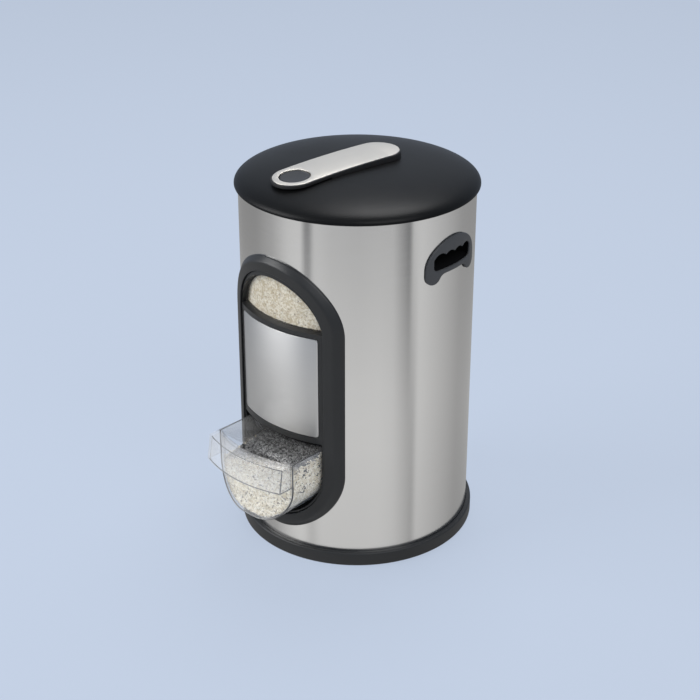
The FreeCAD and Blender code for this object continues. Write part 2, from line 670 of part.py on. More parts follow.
def base_screws():
    """Screws from below, through the base into the sleeve's posts."""
    screws = []
    for x, y in post_places():
        head = disc(SCREW_HEAD, FLOOR_UNDER - HEAD_THICK, FLOOR_UNDER, x, y)
        shank = disc(SCREW_RADIUS, FLOOR_UNDER - HEAD_THICK, FLOOR_TOP + BASE_SCREW_BITE, x, y)
        screws.append(joined([head, shank]))
    return Part.makeCompound(screws)


# ---- hand grips -----------------------------------------------------------------------------
def grip_outline():
    """Arch with two round lobes, seen from the side, run outward from the drum's axis along X."""
    def at(y, z):
        return Vector(0, y, z)

    lobe_y = GRIP_HALF - LOBE_RADIUS
    lobe_z = GRIP_SPRING - LOBE_FALL
    waist = GRIP_SPRING - WAIST
    turn = math.radians(LOBE_TURN)
    join = (lobe_y - LOBE_RADIUS * math.cos(turn), lobe_z - LOBE_RADIUS * math.sin(turn))
    bend = ((WAIST_HALF + join[0]) / 2 + WAIST_BOW, (waist + join[1]) / 2 + WAIST_BOW_UP)
    edges = arch_arcs(at, 0.0)
    edges += [line(at(-GRIP_HALF, GRIP_SPRING), at(-GRIP_HALF, lobe_z)),
              arc(at(-GRIP_HALF, lobe_z), at(-lobe_y, lobe_z - LOBE_RADIUS), at(-join[0], join[1])),
              arc(at(-join[0], join[1]), at(-bend[0], bend[1]), at(-WAIST_HALF, waist)),
              line(at(-WAIST_HALF, waist), at(WAIST_HALF, waist)),
              arc(at(WAIST_HALF, waist), at(bend[0], bend[1]), at(join[0], join[1])),
              arc(at(join[0], join[1]), at(lobe_y, lobe_z - LOBE_RADIUS), at(GRIP_HALF, lobe_z)),
              line(at(GRIP_HALF, lobe_z), at(GRIP_HALF, GRIP_SPRING))]
    return closed_face(edges).extrude(Vector(FAR, 0, 0))


def finger_hole():
    """Hand hole with a groove for each finger along its upper edge."""
    def at(y, z):
        return Vector(0, y, z)

    low = GRIP_SPRING - HOLE_FLOOR
    crest = low + HOLE_HEIGHT
    slant = HOLE_CORNER * (1 - math.sqrt(0.5))
    reach = HOLE_HALF - FINGER_DEPTH
    pitch = 2 * reach / FINGERS
    edges = [line(at(-HOLE_HALF, low + HOLE_CORNER), at(-HOLE_HALF, crest - FINGER_DEPTH)),
             line(at(-HOLE_HALF, crest - FINGER_DEPTH), at(-reach, crest))]
    for index in range(FINGERS):
        start = index * pitch - reach
        edges.append(arc(at(start, crest), at(start + pitch / 2, crest + FINGER_DEPTH), at(start + pitch, crest)))
    edges += [line(at(reach, crest), at(HOLE_HALF, crest - FINGER_DEPTH)),
              line(at(HOLE_HALF, crest - FINGER_DEPTH), at(HOLE_HALF, low + HOLE_CORNER)),
              arc(at(HOLE_HALF, low + HOLE_CORNER), at(HOLE_HALF - slant, low + slant),
                  at(HOLE_HALF - HOLE_CORNER, low)),
              line(at(HOLE_HALF - HOLE_CORNER, low), at(HOLE_CORNER - HOLE_HALF, low)),
              arc(at(HOLE_CORNER - HOLE_HALF, low), at(slant - HOLE_HALF, low + slant),
                  at(-HOLE_HALF, low + HOLE_CORNER))]
    return closed_face(edges).extrude(Vector(FAR, 0, 0))


def hand_grip(turn):
    """Hand grip on the drum's right side, turned about the axis: flange, pocket and snap ridge."""
    flange = grip_outline().common(layer(BODY_RADIUS, BODY_RADIUS + GRIP_STAND))
    right = block((0, FAR), (-FAR, FAR), (0, COLLAR_TOP))
    pocket = pocket_arch().common(block((POCKET_BACK, FAR), (-FAR, FAR), (0, COLLAR_TOP)))
    pocket = pocket.common(disc(BODY_RADIUS + 1, 0, COLLAR_TOP))
    ridge = pocket_arch(SNAP).common(right).common(
        layer(STEEL_INSIDE - FIT - RIDGE_THICK, STEEL_INSIDE - FIT))
    cavity = pocket_arch(-POCKET_WALL).common(
        block((POCKET_BACK + POCKET_WALL, FAR), (-FAR, FAR), (0, COLLAR_TOP)))
    cavity = cavity.common(disc(BODY_RADIUS - 1, 0, COLLAR_TOP))
    hole = finger_hole().common(block((POCKET_BACK + POCKET_WALL, FAR), (-FAR, FAR), (0, COLLAR_TOP)))
    return swung(drilled(joined([flange, pocket, ridge]), [cavity, hole]), turn)


# ---- lid ------------------------------------------------------------------------------------
def lid_curve(inset, steps):
    """Points along the lid's curve, an even depth inside its outside, from the skirt to the axis."""
    turns = [math.pi / 2 * index / steps for index in range(steps + 1)]
    curve = [Vector(LID_FLAT + (LID_SHOULDER - inset) * math.cos(turn), 0,
                    SHOULDER_Z + (LID_BULGE - inset) * math.sin(turn)) for turn in turns]
    return curve + [Vector(0, 0, LID_CROWN - inset)]


def lid_envelope():
    """Solid under the lid's outer surface, down to the skirt's edge."""
    foot = [(0, LID_EDGE), (LID_RADIUS - EDGE_CUT, LID_EDGE), (LID_RADIUS, LID_EDGE + EDGE_CUT)]
    return revolved(polygon([Vector(r, 0, z) for r, z in foot] + lid_curve(0.0, 8)))


def lid_hollow():
    """Space inside the lid's wall."""
    foot = [Vector(0, 0, LID_EDGE - 1), Vector(LID_RADIUS - LID_WALL, 0, LID_EDGE - 1)]
    return revolved(polygon(foot + lid_curve(LID_WALL, 7)))


def with_grip(shape):
    """Shape made along the front direction, turned to the grip's direction."""
    shape.rotate(Vector(0, 0, 0), Vector(0, 0, 1), GRIP_TURN)
    return shape


def lid_shell():
    """Domed lid with a rounded skirt, a ring that the liner is seated on and the button's well."""
    envelope = lid_envelope()
    shell = envelope.cut(lid_hollow())
    seat_out = LINER_RADIUS - FIT
    seat = tube(seat_out - SEAT_RING, seat_out, LINER_TOP, LID_CROWN).common(envelope)
    well = with_grip(disc(WELL_RADIUS, LINER_TOP, LID_CROWN, 0, -GRIP_FRONT)).common(envelope)
    bore = with_grip(disc(WELL_RADIUS - WELL_WALL, WELL_FLOOR, FAR * 2, 0, -GRIP_FRONT))
    stem_hole = with_grip(disc(STEM_RADIUS + RUN, LINER_LOW, FAR * 2, 0, -GRIP_FRONT))
    return drilled(joined([shell, seat, well]), [bore, stem_hole])


def lid_liner():
    """Flat plate under the lid with a rim that enters the collar."""
    plug_out = COLLAR_BORE - PLUG_GAP
    plate_disc = disc(LINER_RADIUS, LINER_LOW, LINER_TOP)
    rim = tube(plug_out - PLUG_WALL, plug_out, LINER_LOW - PLUG_DEPTH, LINER_TOP)
    vent = with_grip(disc(VENT_RADIUS, LINER_LOW - 1, LINER_TOP + 1, 0, -GRIP_FRONT))
    return joined([plate_disc, rim]).cut(vent)


def lid_seal():
    """Flat rubber ring between the liner and the collar."""
    bore = COLLAR_BORE + SEAL_INSET
    return tube(bore, bore + SEAL_WIDTH, SEAL_LOW, LINER_LOW)


# ---- grip pad, trim and button --------------------------------------------------------------
def grip_slot(half):
    """Long round-ended outline of the grip, run upward from inside the lid."""
    low = LID_EDGE
    middle = block((-half, half), (-GRIP_FRONT, GRIP_BACK), (low, PAD_TOP + 2 * PAD_STAND))
    ends = [disc(half, low, PAD_TOP + 2 * PAD_STAND, 0, y) for y in (-GRIP_FRONT, GRIP_BACK)]
    return joined([middle] + ends)


def grip_level(y, rise=0.0):
    """Height of the pad's top: level over the lid, falling slightly towards the front."""
    past = max(0.0, -y - NOSE_START / 2)
    return PAD_TOP + rise - past * math.tan(math.radians(NOSE_FALL))


def under_grip_top(rise):
    """Everything under the pad's top, raised or lowered."""
    ys = (FAR, -NOSE_START / 2, -FAR)
    top = [Vector(-FAR, y, grip_level(y, rise)) for y in ys]
    return polygon(top + [Vector(-FAR, -FAR, 0), Vector(-FAR, FAR, 0)]).extrude(Vector(2 * FAR, 0, 0))


def button_hole():
    """Round hole that the button moves in."""
    return disc(BUTTON_RADIUS + RUN, LID_EDGE, FAR * 2, 0, -GRIP_FRONT)


def grip_pad():
    """Soft pad on the lid, with a recess for the trim and a front end that stands clear of the lid."""
    body = grip_slot(PAD_HALF).common(under_grip_top(0.0))
    recess = grip_slot(TRIM_HALF + PILOT).cut(under_grip_top(TRIM_PROUD - TRIM_THICK))
    nose_gap = under_grip_top(-PAD_NOSE).common(
        block((-FAR, FAR), (-FAR, -NOSE_START), (0, FAR * 2)))
    pad = drilled(body, [recess, nose_gap, button_hole()])
    return with_grip(pad).cut(lid_envelope())


def grip_trim():
    """Bright metal strip in the pad."""
    strip = grip_slot(TRIM_HALF).common(under_grip_top(TRIM_PROUD))
    return with_grip(drilled(strip, [under_grip_top(TRIM_PROUD - TRIM_THICK), button_hole()]))


def button_top():
    """Height of the middle of the button's face."""
    return grip_level(-GRIP_FRONT) - TRIM_PROUD


def button():
    """Push button flush with the pad, with a stem through the lid and a foot that holds the washer."""
    top = button_top()
    cap = disc(BUTTON_RADIUS, top - BUTTON_THICK, top + BUTTON_THICK, 0, -GRIP_FRONT)
    cap = cap.common(under_grip_top(-TRIM_PROUD))
    foot_top = LINER_LOW - FIT - WASHER_THICK
    stem = disc(STEM_RADIUS, foot_top - WASHER_THICK, top - BUTTON_THICK / 2, 0, -GRIP_FRONT)
    foot = disc(WASHER_FOOT, foot_top - WASHER_THICK, foot_top, 0, -GRIP_FRONT)
    return with_grip(joined([cap, stem, foot]))


def vent_washer():
    """Rubber washer that shuts the vent while the button is up."""
    top = LINER_LOW - FIT
    return with_grip(tube(STEM_RADIUS + PILOT, WASHER_RADIUS, top - WASHER_THICK, top, 0, -GRIP_FRONT))


def button_spring():
    """Coil spring between the well's floor and the button."""
    low = WELL_FLOOR + SPRING_WIRE / 2
    high = button_top() - BUTTON_THICK - SPRING_WIRE / 2
    path = Part.makeHelix((high - low) / SPRING_TURNS, high - low, SPRING_RADIUS)
    half = SPRING_WIRE / 2
    square = ((-half, -half), (half, -half), (half, half), (-half, half))
    corners = [Vector(SPRING_RADIUS + x, 0, z) for x, z in square]
    section = Part.makePolygon(corners + corners[:1])
    coil = Part.Wire(path).makePipeShell([section], True, True)
    coil.translate(Vector(0, -GRIP_FRONT, low))
    return with_grip(coil)


# ---- all the pieces --------------------------------------------------------------------------
PIECES = {
    "base": base,
    "feet": feet,
    "base_screws": base_screws,
    "drum": drum,
    "collar": collar,
    "hopper_rim": hopper_rim,
    "hopper_bin": hopper_bin,
    "hopper_chute": hopper_chute,
    "bezel": bezel,
    "clamp_ring": clamp_ring,
    "frame_screws": frame_screws,
    "fascia": fascia,
    "front_plate": plate,
    "window_pane": pane,
    "window_gasket": gasket,
    "drawer_sleeve": sleeve,
    "hand_grip_right": lambda: hand_grip(HAND_TURN),
    "hand_grip_left": lambda: hand_grip(180 - HAND_TURN),
    "drawer": drawer,
    "lid_shell": lid_shell,
    "lid_liner": lid_liner,
    "lid_seal": lid_seal,
    "grip_pad": grip_pad,
    "grip_trim": grip_trim,
    "lid_button": button,
    "button_spring": button_spring,
    "vent_washer": vent_washer,
}


def main():
    """Write one STEP file per piece."""
    os.makedirs("parts", exist_ok=True)
    for name, make in PIECES.items():
        shape = make()
        shape.exportStep("parts/" + name + ".step")
        print(name, "solids", len(shape.Solids), "valid", shape.isValid(), "volume", round(shape.Volume))


main()
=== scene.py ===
"""Looks of the rice dispenser: steel drum, black fittings, clear drawer, and the rice in it.

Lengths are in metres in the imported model's frame: the drum's axis is +Z, the floor is z = 0 and the
front, where the drawer comes out, faces -Y.
"""

import json
import logging
import math
import random
from collections.abc import Callable, Iterator, Sequence
from contextlib import contextmanager
from dataclasses import dataclass, field
from enum import Enum
from itertools import pairwise

import bpy
from mathutils import Matrix, Vector

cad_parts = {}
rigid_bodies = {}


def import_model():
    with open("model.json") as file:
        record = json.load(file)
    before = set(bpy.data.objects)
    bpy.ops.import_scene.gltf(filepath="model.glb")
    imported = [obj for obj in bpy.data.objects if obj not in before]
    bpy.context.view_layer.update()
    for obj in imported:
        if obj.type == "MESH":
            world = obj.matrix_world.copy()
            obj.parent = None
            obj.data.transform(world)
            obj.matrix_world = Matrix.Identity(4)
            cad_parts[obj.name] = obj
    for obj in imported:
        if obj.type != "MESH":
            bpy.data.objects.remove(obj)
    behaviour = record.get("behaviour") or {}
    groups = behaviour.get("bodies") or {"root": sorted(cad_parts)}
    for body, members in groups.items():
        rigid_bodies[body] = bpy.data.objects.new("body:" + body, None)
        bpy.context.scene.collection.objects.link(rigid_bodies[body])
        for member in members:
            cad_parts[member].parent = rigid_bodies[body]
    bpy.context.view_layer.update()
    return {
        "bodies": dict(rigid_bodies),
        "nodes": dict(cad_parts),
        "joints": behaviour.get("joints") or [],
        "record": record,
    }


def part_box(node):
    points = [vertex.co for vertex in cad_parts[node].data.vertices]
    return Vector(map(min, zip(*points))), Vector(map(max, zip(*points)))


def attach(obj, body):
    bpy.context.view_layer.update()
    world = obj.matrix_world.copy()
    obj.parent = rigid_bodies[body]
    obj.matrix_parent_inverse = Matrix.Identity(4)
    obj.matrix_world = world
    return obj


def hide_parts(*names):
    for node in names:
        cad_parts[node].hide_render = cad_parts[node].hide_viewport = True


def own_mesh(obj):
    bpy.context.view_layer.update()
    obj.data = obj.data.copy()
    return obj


log = logging.getLogger("rice_dispenser")

MM = 0.001
SMOOTH_ANGLE = math.radians(30.0)
NEAR, FAR = 0.05, 0.2       # reach of a front cut, from inside the drum to past it

Point = tuple[float, float]
Place = tuple[float, float, float]
Colour = tuple[float, float, float]


class Body(Enum):
    """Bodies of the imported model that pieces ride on."""

    BODY = "body"
    DRAWER = "drawer"
    LID = "lid"
    BUTTON = "button"


class Slot(Enum):
    """Material slots of the record."""

    BASE = "base_plastic"
    FOOT = "foot_rubber"
    SCREW = "screw_steel"
    DRUM = "drum_steel"
    COLLAR = "collar_plastic"
    HOPPER = "hopper_plastic"
    BEZEL = "bezel_plastic"
    INNER = "inner_plastic"
    PLATE = "plate_steel"
    CLEAR = "clear_plastic"
    SEAL = "seal_rubber"
    PAD = "pad_rubber"
    TRIM = "trim_metal"


# ---- shader tools ---------------------------------------------------------------------------
class Flow:
    """Output of a shader node that takes part in arithmetic; each operation adds a Math node."""

    def __init__(self, shader: "Shader", socket: bpy.types.NodeSocket) -> None:
        """Wraps a socket of a shader's node."""
        self.shader = shader
        self.socket = socket

    def math(self, operation: str, *values: "Flow | float") -> "Flow":
        """Result of a Math node.

        Args:
            operation: the node's operation.
            values: its inputs in order.

        Returns:
            The node's output.
        """
        return self.shader.node("ShaderNodeMath", {"operation": operation}, dict(enumerate(values)))

    def __add__(self, other: "Flow | float") -> "Flow":
        """Sum."""
        return self.math("ADD", self, other)

    def __sub__(self, other: "Flow | float") -> "Flow":
        """Difference."""
        return self.math("SUBTRACT", self, other)

    def __rsub__(self, other: float) -> "Flow":
        """Difference from a number."""
        return self.math("SUBTRACT", other, self)

    def __mul__(self, other: "Flow | float") -> "Flow":
        """Product."""
        return self.math("MULTIPLY", self, other)

    __radd__ = __add__
    __rmul__ = __mul__

    def __pow__(self, other: "Flow | float") -> "Flow":
        """Power."""
        return self.math("POWER", self, other)


class Shader:
    """Node tree of one material, with a Principled shader at its end."""

    def __init__(self, name: str) -> None:
        """Makes an empty material of that name."""
        self.material = bpy.data.materials.new(name)
        self.material.use_nodes = True
        self.tree = self.material.node_tree
        self.tree.nodes.clear()
        self.output = self.tree.nodes.new("ShaderNodeOutputMaterial")
        self.surface = self.tree.nodes.new("ShaderNodeBsdfPrincipled")
        self.tree.links.new(self.surface.outputs[0], self.output.inputs["Surface"])

    def node(self, kind: str, settings: dict[str, object], inputs: dict[object, object],
             output: int = 0) -> Flow:
        """Adds a node.

        Args:
            kind: the node's type.
            settings: its attributes, or "stops" for the stops of a ramp.
            inputs: values or flows by input name or number.
            output: number of the output that is used.

        Returns:
            The output.
        """
        made = self.tree.nodes.new(kind)
        for key, value in settings.items():
            if key == "stops":
                self.set_stops(made.color_ramp, value)
            else:
                setattr(made, key, value)
        for key, value in inputs.items():
            self.feed(made.inputs[key], value)
        return Flow(self, made.outputs[output])

    def feed(self, socket: bpy.types.NodeSocket, value: object) -> None:
        """Links a flow to a socket, or sets the socket to a value."""
        if isinstance(value, Flow):
            self.tree.links.new(value.socket, socket)
        else:
            socket.default_value = value

    @staticmethod
    def set_stops(ramp: bpy.types.ColorRamp, stops: Sequence[tuple[float, float]]) -> None:
        """Gives a ramp its stops, each a place and a grey level."""
        while len(ramp.elements) < len(stops):
            ramp.elements.new(1.0)
        for element, (place, level) in zip(ramp.elements, stops):
            element.position = place
            element.color = (level, level, level, 1.0)

    def place(self, scale: Place = (1.0, 1.0, 1.0)) -> Flow:
        """Object coordinates, stretched by a scale along each axis."""
        coords = self.node("ShaderNodeTexCoord", {}, {}, output=3)
        return self.node("ShaderNodeMapping", {}, {"Vector": coords, "Scale": scale})

    def noise(self, place: Flow, scale: float, detail: float = 2.0) -> Flow:
        """Noise between 0 and 1 at a scale per metre."""
        return self.node("ShaderNodeTexNoise", {}, {"Vector": place, "Scale": scale, "Detail": detail})

    def blend(self, factor: Flow, first: Flow | Colour, second: Flow | Colour) -> Flow:
        """Mix of two colours."""
        ends = [colour if isinstance(colour, Flow) else (*colour, 1.0) for colour in (first, second)]
        inputs = {0: factor, 6: ends[0], 7: ends[1]}
        return self.node("ShaderNodeMix", {"data_type": "RGBA"}, inputs, output=2)

    def ramp(self, value: Flow, **ends: float) -> Flow:
        """A value mapped to a range, by default 0 to 1, its ends named with underscores for spaces."""
        named = {key.replace("_", " "): end for key, end in ends.items()}
        return self.node("ShaderNodeMapRange", {}, {"Value": value, **named})

    def join(self, share: Flow, other: Flow) -> None:
        """Mixes another closure with the surface, by a share, at the material's end."""
        inputs = {0: share, 1: Flow(self, self.surface.outputs[0]), 2: other}
        self.feed(self.output.inputs["Surface"], self.node("ShaderNodeMixShader", {}, inputs))

    def bump(self, height: Flow, strength: float, distance: float) -> None:
        """Feeds the surface's normal from a height."""
        settings = {"Height": height, "Strength": strength, "Distance": distance}
        self.feed(self.surface.inputs["Normal"], self.node("ShaderNodeBump", {}, settings))

    def set(self, **values: object) -> None:
        """Sets or links inputs of the surface, named with underscores for spaces."""
        for key, value in values.items():
            if isinstance(value, tuple):
                value = (*value, 1.0)
            self.feed(self.surface.inputs[key.replace("_", " ")], value)


# ---- finishes -------------------------------------------------------------------------------
@dataclass(frozen=True)
class Finish:
    """A surface finish that is made once and shared by the pieces that have it."""

    name: str
    slot: Slot

    def material(self) -> bpy.types.Material:
        """Material of the finish, made at its first use."""
        name = f"{self.name}_finish"
        if name in bpy.data.materials:
            return bpy.data.materials[name]
        shader = Shader(name)
        self.fill(shader)
        return shader.material

    def fill(self, shader: Shader) -> None:
        """Adds the finish's nodes to a shader."""
        raise NotImplementedError


@dataclass(frozen=True)
class Moulded(Finish):
    """Moulded plastic or rubber with a fine grain.

    The tone varies a little with the grain and with wider clouds. The speckle is the share of that
    change, and the lift says how much paler its pale end is.
    """

    colour: Colour
    roughness: float
    grain: float
    grain_height: float
    speckle: float
    specular: float
    cloud_scale: float = 18.0
    lift: float = 2.2
    least_lift: float = 0.004
    gloss_change: float = 0.10
    relief: float = 0.6

    def fill(self, shader: Shader) -> None:
        """Adds the finish's nodes to a shader."""
        place = shader.place()
        grain = shader.noise(place, 1.0 / self.grain, 2.0)
        cloud = shader.noise(place, self.cloud_scale, 3.0)
        mask = grain * self.speckle + cloud * self.speckle
        gain = 1.0 + self.lift * self.speckle
        pale = tuple(min(1.0, channel * gain + self.least_lift) for channel in self.colour)
        shader.set(Base_Color=shader.blend(mask, self.colour, pale),
                   Roughness=cloud * self.gloss_change + (self.roughness - self.gloss_change / 2),
                   Specular_IOR_Level=self.specular)
        shader.bump(grain, self.relief, self.grain_height)


@dataclass(frozen=True)
class Brushed(Finish):
    """Brushed steel. The stretch shortens the pattern's coordinates along the brush lines."""

    colour: Colour
    roughness: float
    lines: float
    stretch: Place
    smear: float = 0.0
    smear_turn: float = 0.25
    depth: float = 0.004 * MM
    relief: float = 0.35
    cloud_scale: float = 9.0
    shade: float = 0.93
    line_change: float = 0.08
    cloud_change: float = 0.05

    def fill(self, shader: Shader) -> None:
        """Adds the finish's nodes to a shader."""
        brushed = shader.place(self.stretch)
        lines = shader.noise(brushed, self.lines, 3.0)
        cloud = shader.noise(shader.place(), self.cloud_scale, 2.0)
        dark = tuple(channel * self.shade for channel in self.colour)
        least = self.roughness - (self.line_change + self.cloud_change) / 2
        shader.set(Base_Color=shader.blend(lines, dark, self.colour), Metallic=1.0,
                   Roughness=lines * self.line_change + cloud * self.cloud_change + least,
                   Anisotropic=self.smear, Anisotropic_Rotation=self.smear_turn)
        shader.bump(lines, self.relief, self.depth)


@dataclass(frozen=True)
class Clear(Finish):
    """Clear plastic: nearly open where it is seen square on, denser and darker at a glancing angle.

    The cover is how much more the plastic hides at a glancing angle, over the least that it hides. The
    mirror is the share of light that it mirrors square on.
    """

    tint: Colour
    edge_tint: Colour
    least: float
    cover: float
    roughness: float = 0.06
    smear_scale: float = 60.0
    smear_change: float = 0.06
    cover_rise: float = 3.0
    mirror: float = 0.04
    mirror_rise: float = 5.0
    mirror_grey: float = 0.9

    def fill(self, shader: Shader) -> None:
        """Adds the finish's nodes to a shader."""
        facing = shader.node("ShaderNodeLayerWeight", {}, {"Blend": 0.5}, output=1)
        glancing = facing ** self.cover_rise
        smear = shader.noise(shader.place(), self.smear_scale, 3.0)
        shader.set(Base_Color=shader.blend(glancing, self.tint, self.edge_tint),
                   Alpha=glancing * self.cover + smear * self.least + self.least * 0.5,
                   Roughness=smear * self.smear_change + self.roughness, Specular_IOR_Level=0.5)
        grey = self.mirror_grey
        gloss = shader.node("ShaderNodeBsdfAnisotropic", {},
                            {"Color": (grey, grey, grey, 1.0), "Roughness": self.roughness})
        shader.join(self.mirror + (1.0 - self.mirror) * facing ** self.mirror_rise, gloss)


@dataclass(frozen=True)
class Grains(Finish):
    """Raw rice: each grain a little lighter, darker or warmer than the next.

    A shadow below 1 darkens the rice towards the back, from the shadow's start to its end along Y.
    """

    pale: Colour = (0.97, 0.92, 0.79)
    warm: Colour = (0.68, 0.59, 0.42)
    roughness: float = 0.55
    brightness: float = 1.0
    shadow_start: float = -0.158
    shadow_end: float = -0.142
    shadow: float = 1.0
    shadow_tone: float = 0.8
    shadow_depth: float = 0.1
    patch_scale: float = 420.0
    spot_scale: float = 210.0
    stops: tuple[Point, ...] = ((0.42, 0.0), (0.58, 1.0))
    specular: float = 0.35
    relief: float = 0.3
    relief_height: float = 0.2 * MM

    def fill(self, shader: Shader) -> None:
        """Adds the finish's nodes to a shader."""
        place = shader.place()
        patch = shader.noise(place, self.patch_scale, 1.0)
        spot = shader.noise(place, self.spot_scale, 4.0)
        mask = shader.node("ShaderNodeValToRGB", {"stops": self.stops}, {0: spot * 0.5 + patch * 0.5})
        pale = tuple(channel * self.brightness for channel in self.pale)
        warm = tuple(channel * self.brightness for channel in self.warm)
        colour = shader.blend(mask, warm, pale)
        if self.shadow < 1.0:
            along = shader.node("ShaderNodeSeparateXYZ", {}, {0: place}, output=1)
            depth = shader.ramp(along, From_Min=self.shadow_start, From_Max=self.shadow_end)
            dim = self.shadow_tone * self.shadow
            dark = dim * self.shadow_depth
            colour = shader.blend(depth, colour, shader.blend(mask, (dark, dark, dark), (dim, dim, dim)))
        shader.set(Base_Color=colour, Roughness=self.roughness, Specular_IOR_Level=self.specular)
        shader.bump(patch, self.relief, self.relief_height)


LID_BLACK = Moulded("lid_matt_black", Slot.BEZEL, (0.0016, 0.0017, 0.0018), roughness=0.38,
                    grain=0.9 * MM, grain_height=0.14 * MM, speckle=0.4, specular=0.11)
BASE_BLACK = Moulded("base_black", Slot.BASE, (0.0145, 0.0148, 0.015), roughness=0.45,
                     grain=0.6 * MM, grain_height=0.03 * MM, speckle=0.3, specular=0.32)
BEZEL_BLACK = Moulded("bezel_black", Slot.BEZEL, (0.0115, 0.0118, 0.012), roughness=0.38,
                      grain=0.6 * MM, grain_height=0.03 * MM, speckle=0.4, specular=0.34)
GRIP_BLACK = Moulded("grip_charcoal", Slot.BEZEL, (0.036, 0.037, 0.039), roughness=0.48,
                     grain=0.5 * MM, grain_height=0.03 * MM, speckle=0.35, specular=0.34)
INNER_BLACK = Moulded("inner_black", Slot.INNER, (0.004, 0.004, 0.0045), roughness=0.65,
                      grain=0.6 * MM, grain_height=0.02 * MM, speckle=0.25, specular=0.12)
COLLAR_BLACK = Moulded("collar_black", Slot.COLLAR, (0.009, 0.009, 0.0095), roughness=0.48,
                       grain=0.6 * MM, grain_height=0.02 * MM, speckle=0.3, specular=0.32)
HOPPER_WHITE = Moulded("hopper_natural", Slot.HOPPER, (0.62, 0.63, 0.62), roughness=0.42,
                       grain=0.8 * MM, grain_height=0.01 * MM, speckle=0.10, specular=0.5)
FOOT_RUBBER = Moulded("foot_rubber", Slot.FOOT, (0.012, 0.012, 0.012), roughness=0.75,
                      grain=0.7 * MM, grain_height=0.05 * MM, speckle=0.4, specular=0.25)
SEAL_RUBBER = Moulded("seal_rubber", Slot.SEAL, (0.012, 0.012, 0.0125), roughness=0.65,
                      grain=0.7 * MM, grain_height=0.03 * MM, speckle=0.3, specular=0.25)
PAD_RUBBER = Moulded("pad_rubber", Slot.PAD, (0.007, 0.007, 0.0075), roughness=0.58,
                     grain=0.5 * MM, grain_height=0.03 * MM, speckle=0.3, specular=0.25)
BUTTON_GREY = Moulded("button_charcoal", Slot.PAD, (0.017, 0.018, 0.020), roughness=0.42,
                      grain=0.5 * MM, grain_height=0.02 * MM, speckle=0.3, specular=0.24)
DRUM_STEEL = Brushed("drum_steel", Slot.DRUM, (0.66, 0.655, 0.645), roughness=0.15,
                     lines=1300.0, stretch=(0.03, 0.03, 1.0), smear=0.9)
PLATE_STEEL = Brushed("plate_steel", Slot.PLATE, (0.58, 0.575, 0.565), roughness=0.40,
                      lines=1500.0, stretch=(0.02, 0.02, 1.0), smear=0.6)
TRIM_METAL = Brushed("trim_metal", Slot.TRIM, (0.668, 0.628, 0.564), roughness=0.42,
                     lines=1500.0, stretch=(1.0, 0.03, 1.0))
SCREW_STEEL = Brushed("screw_steel", Slot.SCREW, (0.60, 0.60, 0.60), roughness=0.30,
                      lines=2500.0, stretch=(1.0, 1.0, 0.1))
CLEAR_PLASTIC = Clear("clear_plastic", Slot.CLEAR, tint=(0.95, 0.95, 0.94), edge_tint=(0.30, 0.31, 0.32),
                      least=0.08, cover=0.30)
# Dark, nearly opaque edge finish: painted shade on the drawer's roundings and front corners, standing in
# for light that the thick clear wall bends away.
PAINTED_EDGE_SHADE = Clear("painted_edge_shade", Slot.CLEAR, tint=(0.025, 0.027, 0.030), edge_tint=(0.02, 0.02, 0.022),
                   least=1.0, cover=0.4, roughness=0.30)
PANE_PLASTIC = Clear("pane_plastic", Slot.CLEAR, tint=(0.22, 0.19, 0.14), edge_tint=(0.05, 0.05, 0.06),
                     least=0.10, cover=0.30, roughness=0.05)
# Rice finishes. The beds are darker than the grains: painted shade in the gaps between grains. rice_top
# and rice_bed also carry a painted shadow towards the back of the drawer.
RICE = Grains("rice_grains", Slot.HOPPER)
RICE_TOP = Grains("rice_top", Slot.HOPPER, shadow=0.38)
RICE_BED_SHADE = Grains("rice_bed", Slot.HOPPER, brightness=0.40, shadow=0.04)
WINDOW_BED_SHADE = Grains("window_bed", Slot.HOPPER, brightness=0.45)


# ---- modelling tools ------------------------------------------------------------------------
def deselect() -> None:
    """Deselects every object."""
    for obj in bpy.context.selected_objects:
        obj.select_set(False)


def activate(obj: bpy.types.Object) -> None:
    """Makes an object the active one and the only one that is selected."""
    deselect()
    obj.select_set(True)
    bpy.context.view_layer.objects.active = obj


def in_scene(name: str, data: bpy.types.ID) -> bpy.types.Object:
    """New object with that data, in the scene."""
    obj = bpy.data.objects.new(name, data)
    bpy.context.scene.collection.objects.link(obj)
    return obj


def new_curve(name: str, courses: Sequence[Sequence[Place]], closed: bool) -> bpy.types.Curve:
    """Curve with a run of straight pieces through each course of points."""
    curve = bpy.data.curves.new(name, "CURVE")
    for course in courses:
        spline = curve.splines.new("POLY")
        spline.points.add(len(course) - 1)
        spline.points.foreach_set("co", [value for place in course for value in (*place, 1.0)])
        spline.use_cyclic_u = closed
    return curve


@contextmanager
def editing(obj: bpy.types.Object) -> Iterator[None]:
    """Edit mode on one object, with all of its mesh selected."""
    activate(obj)
    bpy.ops.object.mode_set(mode="EDIT")
    bpy.ops.mesh.select_all(action="SELECT")
    yield
    bpy.ops.object.mode_set(mode="OBJECT")


def arc(centre: Point, radius: float, start: float, end: float, steps: int) -> list[Point]:
    """Points along an arc.

    Args:
        centre: the arc's centre.
        radius: its radius.
        start: angle of its first point in degrees.
        end: angle of its last point.
        steps: number of runs between the points.

    Returns:
        The points, both ends included.
    """
    (x, y), sweep = centre, end - start
    angles = [math.radians(start + sweep * index / steps) for index in range(steps + 1)]
    return [(x + radius * math.cos(angle), y + radius * math.sin(angle)) for angle in angles]


